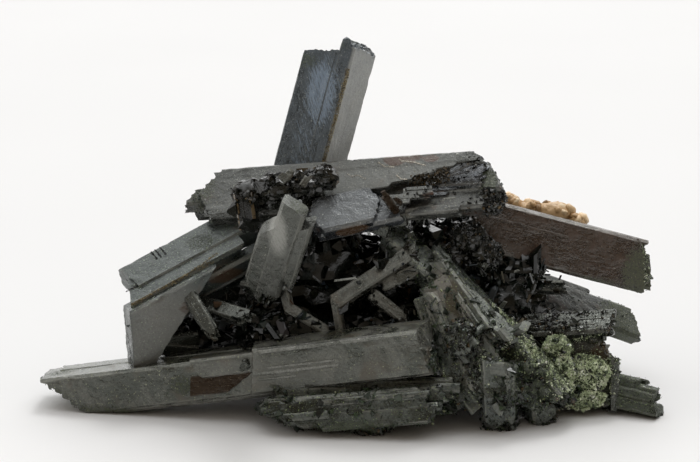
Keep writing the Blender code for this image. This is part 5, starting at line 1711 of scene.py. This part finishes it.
# The floor is painted paler towards the front: a painted pool of light where less light reaches it.
front = paper.spread(paper.node("ShaderNodeSeparateXYZ", i0=where).outputs["Y"], 0.0, -0.05)
shade = paper.ramp(paper.noise(where, 9.0, 2.0), (0.3, (0.775, 0.776, 0.776)), (0.7, (0.795, 0.796, 0.796)))
shade = paper.mix(front, shade, (0.90, 0.90, 0.898))
tooth = paper.bump(paper.noise(where, 3000.0, 2.0), 0.01, 0.1)
floor_mesh.materials.append(paper.finish(shade, 0.9, tooth, 1.15))

ROOM = (0.09, 0.46)  # how bright the dimmest and the brightest side of the room are
OVERHEAD = 1.15  # and how much brighter it is overhead
HORIZON = 1.1  # and low at the back

world = bpy.data.worlds.new("studio")
bpy.context.scene.world = world
world.use_nodes = True
sky = world.node_tree
way = sky.nodes.new("ShaderNodeTexCoord").outputs["Generated"]


def toward(direction, *limits):
    """How far a direction of the sky is toward this one, spread softly between limits."""
    dot = sky.nodes.new("ShaderNodeVectorMath")
    dot.operation = "DOT_PRODUCT"
    sky.links.new(way, dot.inputs[0])
    dot.inputs[1].default_value = direction
    soft = sky.nodes.new("ShaderNodeMapRange")
    soft.interpolation_type = "SMOOTHSTEP"
    sky.links.new(dot.outputs["Value"], soft.inputs[0])
    for socket, value in zip(list(soft.inputs)[1:5], limits):
        socket.default_value = value
    return soft.outputs[0]


glow = sky.nodes.new("ShaderNodeMath")  # dim low in the front, brighter up and away, brightest overhead
sky.links.new(toward((-0.15, 0.55, 1.0), -0.5, 0.9, *ROOM), glow.inputs[0])
lobes = sky.nodes.new("ShaderNodeMath")
sky.links.new(toward(Vector((0.15, 0.5, 0.85)).normalized(), 0.5, 0.88, 0.0, OVERHEAD), lobes.inputs[0])
sky.links.new(toward(Vector((0.0, 0.96, 0.28)), 0.86, 0.97, 0.0, HORIZON), lobes.inputs[1])
sky.links.new(lobes.outputs[0], glow.inputs[1])
tint = sky.nodes.new("ShaderNodeValToRGB")
sky.links.new(glow.outputs[0], tint.inputs[0])
tint.color_ramp.elements[0].color = (1.0, 0.76, 0.50, 1.0)
tint.color_ramp.elements[1].position = 0.6
tint.color_ramp.elements[1].color = (1.0, 1.0, 1.0, 1.0)
sky.links.new(glow.outputs[0], sky.nodes["Background"].inputs["Strength"])
sky.links.new(tint.outputs[0], sky.nodes["Background"].inputs["Color"])


def softbox(name, place, aim, size, power):
    """A large square light at a place in metres, turned to its aim."""
    lamp = bpy.data.lights.new(name, "AREA")
    lamp.size, lamp.energy = size, power
    made = bpy.data.objects.new(name, lamp)
    made.location = place
    made.rotation_euler = (Vector(aim) - Vector(place)).to_track_quat("-Z", "Y").to_euler()
    bpy.context.scene.collection.objects.link(made)


softbox("top_softbox", (0.25, 0.6, 1.15), (0.0, 0.0, 0.0), 0.35, 3.8)
softbox("left_softbox", (-1.0, 0.1, 0.5), (0.0, 0.0, 0.02), 0.5, 1.1)

ELEVATION = math.radians(16.0)
DISTANCE = 0.250
TARGET = (Vector((0.0, 0.0, 23.8)) - Vector((*BOX_CENTRE, 0.0))) * MM
ahead = Vector((0.0, math.cos(ELEVATION), -math.sin(ELEVATION)))
upward = Vector((0.0, math.sin(ELEVATION), math.cos(ELEVATION)))
camera = bpy.data.objects.new("camera", bpy.data.cameras.new("camera"))
camera.data.lens, camera.data.sensor_width = 100.0, 36.0
camera.data.clip_start, camera.data.clip_end = 0.01, 20.0
turn = Matrix((Vector((1.0, 0.0, 0.0)), upward, -ahead)).transposed().to_4x4()
camera.matrix_world = Matrix.Translation(TARGET - ahead * DISTANCE) @ turn
bpy.context.scene.collection.objects.link(camera)
bpy.context.scene.camera = camera
bpy.context.scene.view_settings.view_transform = "Standard"
